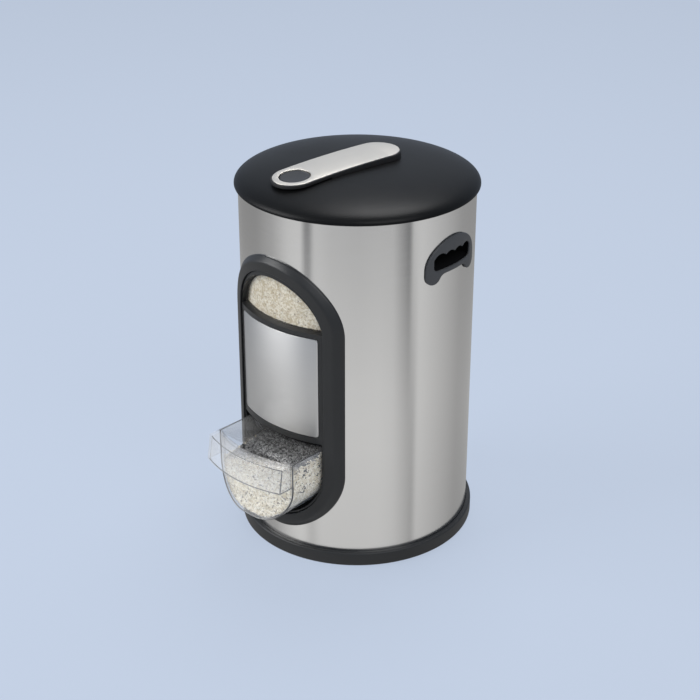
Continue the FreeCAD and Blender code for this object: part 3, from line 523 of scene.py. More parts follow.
def filleted(corners: Sequence[Place], steps: int = 4) -> list[Point]:
    """Closed outline with rounded corners.

    Args:
        corners: two coordinates and the radius of each corner, in order.
        steps: runs in each rounded corner.

    Returns:
        The outline's points.
    """
    points: list[Point] = []
    for index, (x, y, radius) in enumerate(corners):
        here = Vector((x, y))
        before = Vector(corners[index - 1][:2]) - here
        after = Vector(corners[(index + 1) % len(corners)][:2]) - here
        if radius <= 0:
            points.append((x, y))
            continue
        half = before.angle(after) / 2
        run = min(radius / math.tan(half), 0.49 * before.length, 0.49 * after.length)
        start, end = here + before.normalized() * run, here + after.normalized() * run
        for step in range(steps + 1):
            share = step / steps
            bend = (1 - share) ** 2 * start + 2 * share * (1 - share) * here + share ** 2 * end
            points.append((bend.x, bend.y))
    return points


def mirrored(points: Sequence[Point]) -> list[Point]:
    """Points mirrored left to right, in the reverse order."""
    return [(-x, z) for x, z in reversed(points)]


class Shape:
    """Mesh object that is modelled with Blender's own tools."""

    def __init__(self, name: str, obj: bpy.types.Object) -> None:
        """Takes over an object and names it."""
        self.obj = obj
        obj.name = name
        obj.data.name = name

    # -- starting shapes
    @classmethod
    def added(cls, name: str) -> "Shape":
        """Shape from the object that an operator has just added, its place put into its mesh."""
        obj = bpy.context.view_layer.objects.active
        bpy.ops.object.transform_apply(location=True, rotation=True, scale=True)
        return cls(name, obj)

    @classmethod
    def converted(cls, name: str, obj: bpy.types.Object) -> "Shape":
        """Shape from a curve's object."""
        activate(obj)
        bpy.ops.object.convert(target="MESH")
        return cls.added(name)

    @classmethod
    def rod(cls, name: str, radius: float, low: float, high: float, at: Point = (0.0, 0.0),
            segments: int = 96) -> "Shape":
        """Upright cylinder between two heights."""
        deselect()
        bpy.ops.mesh.primitive_cylinder_add(vertices=segments, radius=radius, depth=high - low,
                                            location=(*at, (low + high) / 2))
        return cls.added(name)

    @classmethod
    def cone(cls, name: str, radii: Point, heights: Point, at: Point, segments: int) -> "Shape":
        """Upright cone between two heights."""
        deselect()
        bpy.ops.mesh.primitive_cone_add(vertices=segments, radius1=radii[0], radius2=radii[1],
                                        depth=heights[1] - heights[0], location=(*at, sum(heights) / 2))
        return cls.added(name)

    @classmethod
    def block(cls, name: str, low: Place, high: Place) -> "Shape":
        """Box between two corners."""
        deselect()
        bpy.ops.mesh.primitive_cube_add(size=1.0, location=[(a + b) / 2 for a, b in zip(low, high)],
                                        scale=[b - a for a, b in zip(low, high)])
        return cls.added(name)

    @classmethod
    def turned(cls, name: str, profile: Sequence[Point], segments: int = 128, ring: bool = False,
               half_step: bool = False) -> "Shape":
        """Shape turned about the Z axis.

        Args:
            name: the piece's name.
            profile: radius and height of each point, from one pole or rim to the other.
            segments: number of faces round the axis.
            ring: whether the profile is a closed loop.
            half_step: whether the first point lies half a face off the X axis.

        Returns:
            The shape, with any flat end closed.
        """
        start_pole, end_pole = profile[0][0] == 0, profile[-1][0] == 0
        course = list(profile)[int(start_pole):len(profile) - int(end_pole)]
        first_turn = math.pi / segments if half_step else 0
        deselect()
        bpy.ops.mesh.primitive_circle_add(vertices=segments, radius=course[0][0], fill_type="NOTHING",
                                          location=(0, 0, course[0][1]), rotation=(0, 0, first_turn))
        shape = cls.added(name)
        with editing(shape.obj):
            for before, after in pairwise(course + course[:1] if ring else course):
                cls.extrude_loop(before, after)
            if end_pole:
                cls.extrude_loop(course[-1], (0.0, profile[-1][1]))
            if start_pole:
                bpy.ops.mesh.select_all(action="DESELECT")
                bpy.ops.mesh.select_non_manifold()
                cls.extrude_loop(course[0], (0.0, profile[0][1]))
            bpy.ops.mesh.select_all(action="SELECT")
            bpy.ops.mesh.remove_doubles(threshold=1e-7)
            if not ring:
                bpy.ops.mesh.fill_holes(sides=0)
            bpy.ops.mesh.normals_make_consistent(inside=False)
        return shape

    @staticmethod
    def extrude_loop(before: Point, after: Point) -> None:
        """Extrudes the selected round loop from one radius and height to another; radius 0 closes it."""
        bpy.ops.mesh.extrude_region_move(TRANSFORM_OT_translate={"value": (0, 0, after[1] - before[1])})
        if after[0] == 0:
            bpy.ops.mesh.merge(type="COLLAPSE")
        elif after[0] != before[0]:
            factor = after[0] / before[0]
            bpy.ops.transform.resize(value=(factor, factor, 1), center_override=(0, 0, after[1]))

    @classmethod
    def sheet(cls, name: str, outlines: Sequence[Sequence[Point]], near: float, far: float,
              rounding: float = 0.0, steps: int = 2) -> "Shape":
        """Flat sheet that stands upright at the front, with its outlines given from the front.

        Args:
            name: the piece's name.
            outlines: the outer outline and those of any holes, in X and Z.
            near: distance of its back from the axis that it will be wrapped round.
            far: distance of its face.
            rounding: radius of its edges.
            steps: runs in the rounding.

        Returns:
            The sheet, still flat.
        """
        curve = new_curve(name, [[(x, z, 0.0) for x, z in outline] for outline in outlines], True)
        curve.dimensions, curve.fill_mode = "2D", "BOTH"
        curve.extrude = (far - near) / 2 - rounding
        curve.bevel_depth, curve.offset, curve.bevel_resolution = rounding, -rounding, steps
        obj = in_scene(name, curve)
        obj.rotation_euler = (math.pi / 2, 0, 0)
        obj.location = (0, -(near + far) / 2, 0)
        shape = cls.converted(name, obj)
        with editing(shape.obj):
            bpy.ops.mesh.remove_doubles(threshold=2e-6)
            bpy.ops.mesh.dissolve_limited(angle_limit=math.radians(0.5))
            bpy.ops.mesh.normals_make_consistent(inside=False)
        return shape

    @classmethod
    def wire(cls, name: str, course: Sequence[Place], radius: float) -> "Shape":
        """Round wire along a course of points."""
        curve = new_curve(name, [course], False)
        curve.dimensions, curve.bevel_depth, curve.bevel_resolution = "3D", radius, 2
        curve.use_fill_caps = True
        return cls.converted(name, in_scene(name, curve))

    # -- shaping
    def modify(self, kind: str, **settings: object) -> "Shape":
        """Adds a modifier with those settings and applies it."""
        activate(self.obj)
        modifier = self.obj.modifiers.new(kind.lower(), kind)
        for key, value in settings.items():
            setattr(modifier, key, value)
        bpy.ops.object.modifier_apply(modifier=modifier.name)
        return self

    def combine(self, other: "Shape", operation: str) -> "Shape":
        """Boolean with another shape, which is used up."""
        self.modify("BOOLEAN", operation=operation, object=other.obj, solver="EXACT")
        bpy.data.objects.remove(other.obj)
        return self

    def cut(self, other: "Shape") -> "Shape":
        """Takes another shape away."""
        return self.combine(other, "DIFFERENCE")

    def keep(self, other: "Shape") -> "Shape":
        """Keeps what lies inside another shape."""
        return self.combine(other, "INTERSECT")

    def fuse(self, other: "Shape") -> "Shape":
        """Unites with another shape."""
        return self.combine(other, "UNION")

    def bevel(self, width: float, steps: int = 2, angle: float = 35.0, second: bool = False,
              full: bool = False) -> "Shape":
        """Rounds the edges that are sharper than an angle.

        Args:
            width: size of the rounding.
            steps: faces across it.
            angle: least angle in degrees between the faces at a rounded edge.
            second: whether the rounding takes the second finish.
            full: whether it keeps its full width beside short edges.

        Returns:
            The shape.
        """
        return self.modify("BEVEL", width=width, segments=steps, limit_method="ANGLE",
                           angle_limit=math.radians(angle), miter_outer="MITER_ARC",
                           harden_normals=False, material=1 if second else -1, use_clamp_overlap=not full)

    def two_finishes(self, rule: Callable[[Vector, Vector], bool]) -> "Shape":
        """Makes room for a second finish, on the faces whose centre and normal a rule accepts."""
        self.obj.data.materials.clear()
        for _ in range(2):
            self.obj.data.materials.append(None)
        for face in self.obj.data.polygons:
            face.material_index = int(rule(face.center, face.normal))
        return self

    def strips(self, pitch: float, axis: int = 0) -> "Shape":
        """Cuts the mesh into strips across an axis, without parting it."""
        places = [vertex.co[axis] for vertex in self.obj.data.vertices]
        normal = [float(index == axis) for index in range(3)]
        first, last = math.ceil(min(places) / pitch), math.floor(max(places) / pitch)
        for index in range(first, last + 1):
            place = [value * index * pitch for value in normal]
            with editing(self.obj):
                bpy.ops.mesh.bisect(plane_co=place, plane_no=normal)
        return self

    def trim_above(self, level: float) -> "Shape":
        """Cuts away what lies above a level and closes the cut."""
        with editing(self.obj):
            bpy.ops.mesh.bisect(plane_co=(0.0, 0.0, level), plane_no=(0.0, 0.0, 1.0), use_fill=True,
                                clear_outer=True)
        return self

    def move_points(self, rule: Callable[[Vector], Vector]) -> "Shape":
        """Moves each point of the mesh by a rule."""
        for vertex in self.obj.data.vertices:
            vertex.co = rule(vertex.co.copy())
        self.obj.data.update()
        return self

    def wrap(self, beyond: float = 0.0) -> "Shape":
        """Wraps a flat front shape round the Z axis, keeping its outline as seen from the front.

        Args:
            beyond: points nearer to the axis than this stay where they are.

        Returns:
            The shape.
        """
        def rule(point: Vector) -> Vector:
            if -point.y >= beyond:
                point.y = -math.sqrt(max(0.0, point.y ** 2 - point.x ** 2))
            return point

        return self.move_points(rule)

    def move(self, x: float, y: float, z: float) -> "Shape":
        """Moves the mesh."""
        self.obj.data.transform(Matrix.Translation((x, y, z)))
        return self

    def stand(self, level: float) -> "Shape":
        """Turns a shape about Z to lie about a level line at the front, its heights outward."""
        turn = Matrix.Translation((0, 0, level)) @ Matrix.Rotation(math.pi / 2, 4, "X")
        self.obj.data.transform(turn)
        return self

    def stretch(self, level: float, rise: float) -> "Shape":
        """Moves the part over a level up, which turns a round ring into a slot's."""
        with editing(self.obj):
            bpy.ops.mesh.select_all(action="DESELECT")
            self.pick(lambda point: point.z > level)
            bpy.ops.transform.translate(value=(0, 0, rise))
        return self

    def pick(self, rule: Callable[[Vector], bool]) -> None:
        """Selects, in edit mode, the points that a rule accepts."""
        bpy.ops.object.mode_set(mode="OBJECT")
        for vertex in self.obj.data.vertices:
            vertex.select = rule(vertex.co)
        bpy.ops.object.mode_set(mode="EDIT")

    def turn(self, degrees: float) -> "Shape":
        """Turns the mesh about the Z axis."""
        self.obj.data.transform(Matrix.Rotation(math.radians(degrees), 4, "Z"))
        return self

    def dress(self, finish: Finish, body: Body, *nodes: str, second: Finish | None = None) -> "Shape":
        """Finishes the piece.

        Args:
            finish: its surface finish.
            body: the body that it rides on.
            nodes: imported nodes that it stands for.
            second: finish of the faces that were given the second one.

        Returns:
            The shape.
        """
        activate(self.obj)
        bpy.ops.object.shade_smooth_by_angle(angle=SMOOTH_ANGLE)
        if second:
            self.obj.data.materials[0] = finish.material()
            self.obj.data.materials[1] = second.material()
        else:
            self.obj.data.materials.clear()
            self.obj.data.materials.append(finish.material())
        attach(self.obj, body.value)
        if nodes:
            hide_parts(*nodes)
        log.info("%s: %d faces on %s", self.obj.name, len(self.obj.data.polygons), body.value)
        return self


def stadium(half: float, low: float, high: float, steps: int = 48) -> list[Point]:
    """Outline of an upright slot whose half circles are centred at two levels."""
    return arc((0.0, high), half, 0, 180, steps) + arc((0.0, low), half, 180, 360, steps)


# ---- base and drum --------------------------------------------------------------------------
@dataclass
class Base:
    """Plastic foot of the drum, with ribs and rubber feet under it."""

    reach: float = 0.1305
    top: float = 0.017
    stand: float = 0.0012
    under: float = 0.006
    floor_top: float = 0.0085
    rim: float = 0.012
    steel_out: float = 0.1253
    steel_in: float = 0.1241
    steel_foot: float = 0.005
    wall: float = 0.0026
    foot_radius: float = 0.009
    foot_circle: float = 0.096
    foot_edge: float = 0.001
    foot_room: float = 0.0001
    screw_room: float = 0.0034
    hub: float = 0.013
    ribs: int = 8
    rib_half: float = 0.001
    rib_foot: float = 0.0022
    overlap: float = 0.001
    posts: tuple[Point, ...] = ((-0.020, -0.062), (-0.020, 0.008), (0.020, -0.062), (0.020, 0.008))

    def build(self) -> None:
        """Makes the base, with sinks for its screws, and its feet."""
        rim_in, well = self.reach - self.rim, self.steel_in - self.wall
        section = filleted([
            (0.0, self.under, 0), (rim_in, self.under, 0.6 * MM), (rim_in, self.stand, 0.6 * MM),
            (self.reach, self.stand, 1.8 * MM), (self.reach, self.top, 3.6 * MM),
            (self.steel_out, self.top, 0.25 * MM), (self.steel_out, self.steel_foot, 0),
            (self.steel_in, self.steel_foot, 0), (self.steel_in, self.top, 0.4 * MM),
            (well, self.top, 0.6 * MM), (well, self.floor_top, 1.0 * MM), (0.0, self.floor_top, 0)], 6)
        base = Shape.turned("base_shell", section, 192)
        rib_top = self.under + self.overlap
        base.fuse(Shape.rod("hub", self.hub, self.rib_foot, rib_top))
        for index in range(self.ribs):
            rib = Shape.block("rib", (self.hub - 2 * self.overlap, -self.rib_half, self.rib_foot),
                              (rim_in + self.overlap, self.rib_half, rib_top))
            base.fuse(rib.turn((index + 0.5) * 360 / self.ribs))
        pocket = self.foot_radius + self.foot_room
        for place in self.feet():
            base.cut(Shape.rod("pocket", pocket, -self.overlap, self.under, place))
        for place in self.posts:
            base.cut(Shape.rod("sink", self.screw_room, -self.overlap, self.under, place, 32))
        base.dress(BASE_BLACK, Body.BODY, "base")
        join_all("feet_pads", [self.pad().move(x, y, 0) for x, y in self.feet()]).dress(
            FOOT_RUBBER, Body.BODY, "feet")

    def pad(self) -> Shape:
        """One rubber foot, with a rounded lower edge."""
        radius, edge, top = self.foot_radius, self.foot_edge, self.under - 0.01 * MM
        return Shape.turned("pad", [(0.0, 0.0), (radius - edge, 0.0), (radius - 0.3 * edge, 0.3 * edge),
                                    (radius, edge), (radius, top), (0.0, top)], 64)

    def feet(self) -> list[Point]:
        """Centres of the feet."""
        spread = self.foot_circle * math.sqrt(0.5)
        return [(0.0, 0.0)] + [(x * spread, y * spread) for x in (-1, 1) for y in (-1, 1)]


def join_all(name: str, shapes: Sequence[Shape]) -> Shape:
    """Joins separate shapes into one object."""
    deselect()
    for shape in shapes:
        shape.obj.select_set(True)
    bpy.context.view_layer.objects.active = shapes[0].obj
    bpy.ops.object.join()
    return Shape(name, shapes[0].obj)


@dataclass
class Drum:
    """Rolled steel drum with openings behind the front panel and the hand grips."""

    radius: float = 0.125
    steel: float = 0.0006
    foot: float = 0.005
    top: float = 0.395
    panel_hole: float = 0.0083
    grip_room: float = 0.0003

    def build(self, panel: "FrontPanel", grips: "HandGrips") -> None:
        """Makes the drum round the openings of two other assemblies."""
        inside = self.radius - self.steel
        drum = Shape.turned("drum_skin", [(inside, self.foot), (self.radius, self.foot),
                                          (self.radius, self.top), (inside, self.top)], 256, ring=True)
        hole = stadium(panel.land + self.panel_hole, panel.low, panel.high)
        drum.cut(Shape.sheet("panel_hole", [hole], NEAR, FAR))
        for side in (grips.side_turn, -grips.side_turn):
            drum.cut(Shape.sheet("grip_hole", [grips.pocket(-self.grip_room)], NEAR, FAR).turn(side))
        drum.dress(DRUM_STEEL, Body.BODY, "drum")


# ---- front panel ----------------------------------------------------------------------------
@dataclass
class FrontPanel:
    """Black front panel: bezel, fascia, steel plate and window."""

    low: float = 0.110
    high: float = 0.2705
    land: float = 0.060
    half: float = 0.076
    steel: float = 0.125
    back: float = 0.121
    face: float = 0.129
    proud: float = 0.1315
    mouth_half: float = 0.0575
    mouth_top: float = 0.148
    plate_half: float = 0.0545
    plate_low: float = 0.1555
    plate_high: float = 0.269
    window_half: float = 0.0588
    window_centre: float = 0.2660
    sill: float = 0.2757
    sill_corner: float = 0.0006
    plate_corner: float = 0.004
    mouth_corner: float = 0.002
    ring_back: float = 0.1243
    spigot: float = 0.008
    play: float = 0.0003
    pane_grow: float = 0.0007
    seal_width: float = 0.0015
    pane_face: float = 0.1248
    pane_back: float = 0.1228
    gasket_back: float = 0.1195
    flare: float = 0.0008
    strip: float = 0.0045

    def window(self, inset: float = 0.0) -> list[Point]:
        """Outline of the window, moved inward."""
        half, sill = self.window_half - inset, self.sill + inset
        rise = math.degrees(math.asin((sill - self.window_centre) / half))
        crown = arc((0.0, self.window_centre), half, rise, 180 - rise, 56)
        corners = [(*crown[index], self.sill_corner) for index in (-1, 0)]
        return filleted(corners + [(x, z, 0) for x, z in crown[1:-1]])

    def plate(self, grow: float = 0.0) -> list[Point]:
        """Outline of the steel plate, grown evenly."""
        half, low, high = self.plate_half + grow, self.plate_low - grow, self.plate_high + grow
        corners = ((-half, low), (half, low), (half, high), (-half, high))
        return filleted([(x, z, self.plate_corner + grow) for x, z in corners], 6)

    def mouth(self) -> list[Point]:
        """Outline of the drawer's mouth."""
        lower = arc((0.0, self.low), self.mouth_half, 180, 360, 48)
        top = [(side * self.mouth_half, self.mouth_top, self.mouth_corner) for side in (1, -1)]
        return filleted([(x, z, 0) for x, z in lower] + top)

    def build(self) -> None:
        """Makes the panel's pieces."""
        self.bezel()
        self.fascia()
        plate = Shape.sheet("front_plate_skin", [self.plate(-self.play / 2)], self.face - 1 * MM,
                            self.face + 0.05 * MM, 0.3 * MM)
        plate.strips(self.strip).wrap().dress(PLATE_STEEL, Body.BODY, "front_plate")
        edge = self.window(-self.pane_grow)
        pane = Shape.sheet("window_glass", [edge], self.pane_back, self.pane_face, 0.2 * MM)
        pane.strips(self.strip).wrap().dress(PANE_PLASTIC, Body.BODY, "window_pane")
        seal = Shape.sheet("window_seal", [edge, self.window(self.seal_width)], self.gasket_back,
                           self.pane_back, 0.3 * MM)
        seal.strips(self.strip).wrap().dress(SEAL_RUBBER, Body.BODY, "window_gasket")

    def bezel(self) -> None:
        """Makes the outer ring, with its wide rounded shoulder."""
        spigot = self.land + self.spigot
        section = filleted([
            (self.land, self.ring_back, 0), (self.land, self.proud - 0.4 * MM, 1.4 * MM),
            (self.half - 5.5 * MM, self.proud, 4.5 * MM), (self.half, self.proud - 4.4 * MM, 2.2 * MM),
            (self.half, self.steel, 0), (spigot, self.steel, 0), (spigot, self.ring_back, 0)], 6)
        ring = Shape.turned("bezel_ring", section, 128, ring=True, half_step=True)
        ring.stand(self.low).stretch(self.low, self.high - self.low)
        ring.strips(self.strip).wrap().dress(BEZEL_BLACK, Body.BODY, "bezel")

    def fascia(self) -> None:
        """Makes the inner frame round the window, the plate and the mouth."""
        outlines = [stadium(self.land - self.play, self.low, self.high), self.window(), self.mouth()]
        frame = Shape.sheet("fascia_frame", outlines, self.back, self.face, 0.35 * MM)
        seat = self.plate(0.55 * MM)
        frame.cut(Shape.sheet("plate_seat", [seat], self.face - 1.2 * MM, self.face + 5 * MM))
        frame.cut(self.window_slope())
        frame.strips(self.strip).wrap().dress(BEZEL_BLACK, Body.BODY, "fascia")

    def window_slope(self) -> Shape:
        """Solid whose sides slope from the window's outline at the pane to a wider one past the face."""
        depth, past = self.face - self.pane_face, 1 * MM
        wide, narrow = self.window(-self.flare * (depth + past) / depth), self.window()
        slope = Shape.sheet("slope", [wide], self.pane_face, self.face + past)

        def rule(point: Vector) -> Vector:
            if -point.y > self.face:
                return point
            nearest = min(range(len(wide)), key=lambda index: math.dist(wide[index], (point.x, point.z)))
            return Vector((narrow[nearest][0], point.y, narrow[nearest][1]))

        return slope.move_points(rule)


# ---- hand grips -----------------------------------------------------------------------------
@dataclass
class HandGrips:
    """Arched hand grips on both sides of the drum, with a finger hole each."""

    side_turn: float = 94.0
    half: float = 0.0395
    spring: float = 0.336
    rise: float = 0.031
    side: float = 0.026
    lobe: float = 0.0095
    lobe_fall: float = 0.006
    lobe_turn: float = 39.0
    waist: float = 0.0065
    waist_half: float = 0.014
    waist_bend: Point = (0.0012, 0.0002)
    stand: float = 0.0026
    steel: float = 0.125
    pocket_inset: float = 0.0038
    pocket_fall: float = 0.0035
    pocket_back: float = 0.09994
    pocket_wall: float = 0.002
    pocket_corner: float = 0.003
    pocket_gap: float = 0.0008
    wrap_from: float = 0.11
    strip: float = 0.004
    hole_half: float = 0.030
    hole_low: float = 0.3348
    hole_high: float = 0.3498
    hole_corner: float = 0.005
    shoulder_corner: float = 0.002
    finger: float = 0.0026
    fingers: int = 4
    finger_steps: int = 8

    def arch(self, inset: float) -> list[Point]:
        """Flattened arch of three arcs, from its right foot to its left one."""
        spread = self.half ** 2 + self.rise ** 2 - 2 * self.half * self.side
        crest = spread / (2 * (self.rise - self.side))
        centre = self.half - self.side
        lean = math.degrees(math.atan2(crest - self.rise, centre))
        right = arc((centre, self.spring), self.side - inset, 0, lean, 12)
        top = arc((0.0, self.spring + self.rise - crest), crest - inset, lean, 180 - lean, 16)
        return right + top[1:-1] + mirrored(right)

    def outline(self, inset: float = 0.0) -> list[Point]:
        """Arch with its two drooping lobes, moved inward."""
        centre = (self.half - self.lobe, self.spring - self.lobe_fall)
        lobe = arc(centre, self.lobe - inset, 0, -180 + self.lobe_turn, 16)
        waist = self.spring - self.waist + inset
        end, start = Vector((self.waist_half, waist)), Vector(lobe[-1])
        bend = Vector(((start.x + end.x) / 2 + self.waist_bend[0], waist + self.waist_bend[1]))
        curve = [(1 - t) ** 2 * start + 2 * t * (1 - t) * bend + t ** 2 * end
                 for t in (0.25, 0.5, 0.75, 1.0)]
        right = lobe + [(point.x, point.y) for point in curve]
        return self.arch(inset) + [(-x, z) for x, z in right] + right[::-1]

    def pocket(self, inset: float = 0.0) -> list[Point]:
        """Outline of the pocket behind the flange, moved inward."""
        low = self.spring - self.pocket_fall + inset
        half = self.half - self.pocket_inset - inset
        corner = self.pocket_corner - inset
        arch = self.arch(self.pocket_inset + inset)
        return filleted([(x, z, 0) for x, z in arch] + [(-half, low, corner), (half, low, corner)])

    def finger_hole(self) -> list[Point]:
        """Outline of the finger hole, with a groove for each finger along its top."""
        reach = self.hole_half - self.finger
        pitch = 2 * reach / self.fingers
        top: list[Point] = []
        for index in range(self.fingers):
            start = reach - index * pitch
            for step in range(self.finger_steps + 1):
                share = step / self.finger_steps
                groove = self.finger * 4 * share * (1 - share)
                top.append((start - pitch * share, self.hole_high + groove))
        half, low, shoulder = self.hole_half, self.hole_low, self.hole_high - self.finger
        right = [(half, low, self.hole_corner), (half, shoulder, self.shoulder_corner)]
        left = [(-half, shoulder, self.shoulder_corner)]
        return filleted([(-half, low, self.hole_corner)] + right + [(x, z, 0) for x, z in top] + left)

    def build(self) -> None:
        """Makes both hand grips."""
        for name, side in (("hand_grip_right", self.side_turn), ("hand_grip_left", -self.side_turn)):
            flange = Shape.sheet(f"{name}_flange", [self.outline(), self.finger_hole()], self.steel,
                                 self.steel + self.stand, 1.1 * MM, 3)
            flange.strips(self.strip).wrap().turn(side)
            box = Shape.sheet("pocket_box", [self.pocket()], self.pocket_back,
                              self.steel - self.pocket_gap)
            cavity = self.pocket(self.pocket_wall)
            box.cut(Shape.sheet("cavity", [cavity], self.pocket_back + self.pocket_wall, FAR))
            box.strips(self.strip).wrap(beyond=self.wrap_from).turn(side)
            flange.dress(GRIP_BLACK, Body.BODY, name)
            box.obj.name = f"{name}_pocket"
            box.dress(INNER_BLACK, Body.BODY)


# ---- drawer ---------------------------------------------------------------------------------
@dataclass
class Drawer:
    """Clear round-bottomed drawer with a pull lip, drawn part of the way out.

    A face whose normal along Y lies between the two corner turns belongs to the rounded front corner.
    The painted dark line in that corner is shade for the light that its thick wall bends away, and it
    lies a share of its own radius inside the tub.
    """

    half: float = 0.0555
    under: float = 0.062
    rim: float = 0.140
    corner: float = 0.046
    wall: float = 0.0018
    back: float = -0.060
    drawn: float = 0.040
    nose: float = 0.129
    tongue_back: float = -0.015
    lip_reach: float = 0.013
    lip_flare: float = 0.004
    lip_drop: float = 0.028
    lip_root: float = 0.0009
    lip_edge: float = 0.0016
    lip_back: float = 0.090
    edge: float = 0.0028
    least_edge: float = 0.0006
    small_edge: float = 0.00065
    spare: float = 0.008
    past: float = 0.001
    high: float = 0.3
    corner_round: float = 0.0008
    corner_turns: Point = (0.03, 0.88)
    corner_from: float = -0.1
    line_depth: float = 0.7
    line_inset: float = 0.8

    def trough(self, inset: float, top: float) -> list[Point]:
        """Outline of the tub from the front, moved inward, up to a level."""
        half, radius = self.half - inset, self.corner - inset
        centre_z = self.under + self.corner
        right = arc((self.half - self.corner, centre_z), radius, 0, -90, 20)
        return [(half, top)] + right + mirrored(right) + [(-half, top)]

    def block(self, name: str, inset: float, top: float) -> Shape:
        """Solid that fills the tub up to a level, moved inward from its outside, its edges rounded."""
        solid = Shape.sheet(name, [self.trough(inset, top + self.spare)], -self.back + inset, FAR)
        solid.keep(self.front(self.nose - inset))
        solid.bevel(max(self.edge - inset, self.least_edge), 4, 28.0)
        return solid.trim_above(top)

    def front(self, radius: float) -> Shape:
        """Upright cylinder whose front the drawer's front follows."""
        return Shape.rod("nose", radius, 0.0, self.high, (0.0, -self.drawn), 160)

    def build(self) -> None:
        """Makes the drawer."""
        tub = self.block("drawer_tub", 0.0, self.rim)
        tub.cut(self.block("hollow", self.wall, self.rim + self.past))
        tub.fuse(self.lip())
        tongue = Shape.block("tongue", (-self.half, self.back - self.past, self.rim - self.wall),
                             (self.half, self.tongue_back, self.rim))
        # The front corners and the small roundings take the painted edge shade.
        tub.fuse(tongue).two_finishes(self.on_corner)
        tub.bevel(self.small_edge, 2, 40, second=True, full=True)
        tub.move_points(self.held_in).dress(CLEAR_PLASTIC, Body.DRAWER, "drawer", second=PAINTED_EDGE_SHADE)
        self.corner_shade_line().dress(PAINTED_EDGE_SHADE, Body.DRAWER)

    def corner_shade_line(self) -> Shape:
        """Painted dark line along the rounded front corner of the tub: shade where its thick wall bends
        the light away.
        """
        reach = self.nose - self.corner_round * self.line_depth
        front = self.trough(self.corner_round * self.line_inset, self.rim - self.past)
        course = [(x, -self.drawn - math.sqrt(reach ** 2 - x ** 2), z) for x, z in front]
        return Shape.wire("drawer_corner", course, self.corner_round)

    def held_in(self, place: Vector) -> Vector:
        """Point moved back inside the tub's own sides, bottom and rim."""
        side = min(max(place.x, -self.half), self.half)
        return Vector((side, place.y, min(max(place.z, self.under), self.rim)))

    def on_corner(self, centre: Vector, normal: Vector) -> bool:
        """Whether a face belongs to a rounded front corner, which gets painted shade so that it looks
        darker than the flat walls.
        """
        least, most = self.corner_turns
        return least < abs(normal.y) < most and centre.y < self.corner_from

    def lip(self) -> Shape:
        """Hollow flared pull in front of the drawer's rim."""
        outside = self.flare("lip", 0.0, self.nose - self.lip_root)
        return outside.cut(self.flare("hollow", self.wall, self.nose))

    def flare(self, name: str, inset: float, hole: float) -> Shape:
        """Solid of the lip, moved inward from its outside.

        Args:
            name: the solid's name.
            inset: how far it is moved inward, 0 for the outside.
            hole: radius of the tub's front that is taken out of it.

        Returns:
            The solid; a hollow runs out below the lip.
        """
        low = self.rim - self.lip_drop - (self.past if inset else 0.0)
        crest = self.nose + self.lip_reach - inset
        spread = self.lip_flare * (self.rim - low) / self.lip_drop
        form = Shape.block(name, (inset - self.half, -FAR, low),
                           (self.half - inset, -self.lip_back, self.rim - inset))
        form.keep(Shape.cone("flare", (crest + spread, crest), (low, self.rim), (0.0, -self.drawn), 160))
        form.bevel(self.lip_edge - inset * 0.5, 3, 40)
        return form.cut(self.front(hole))


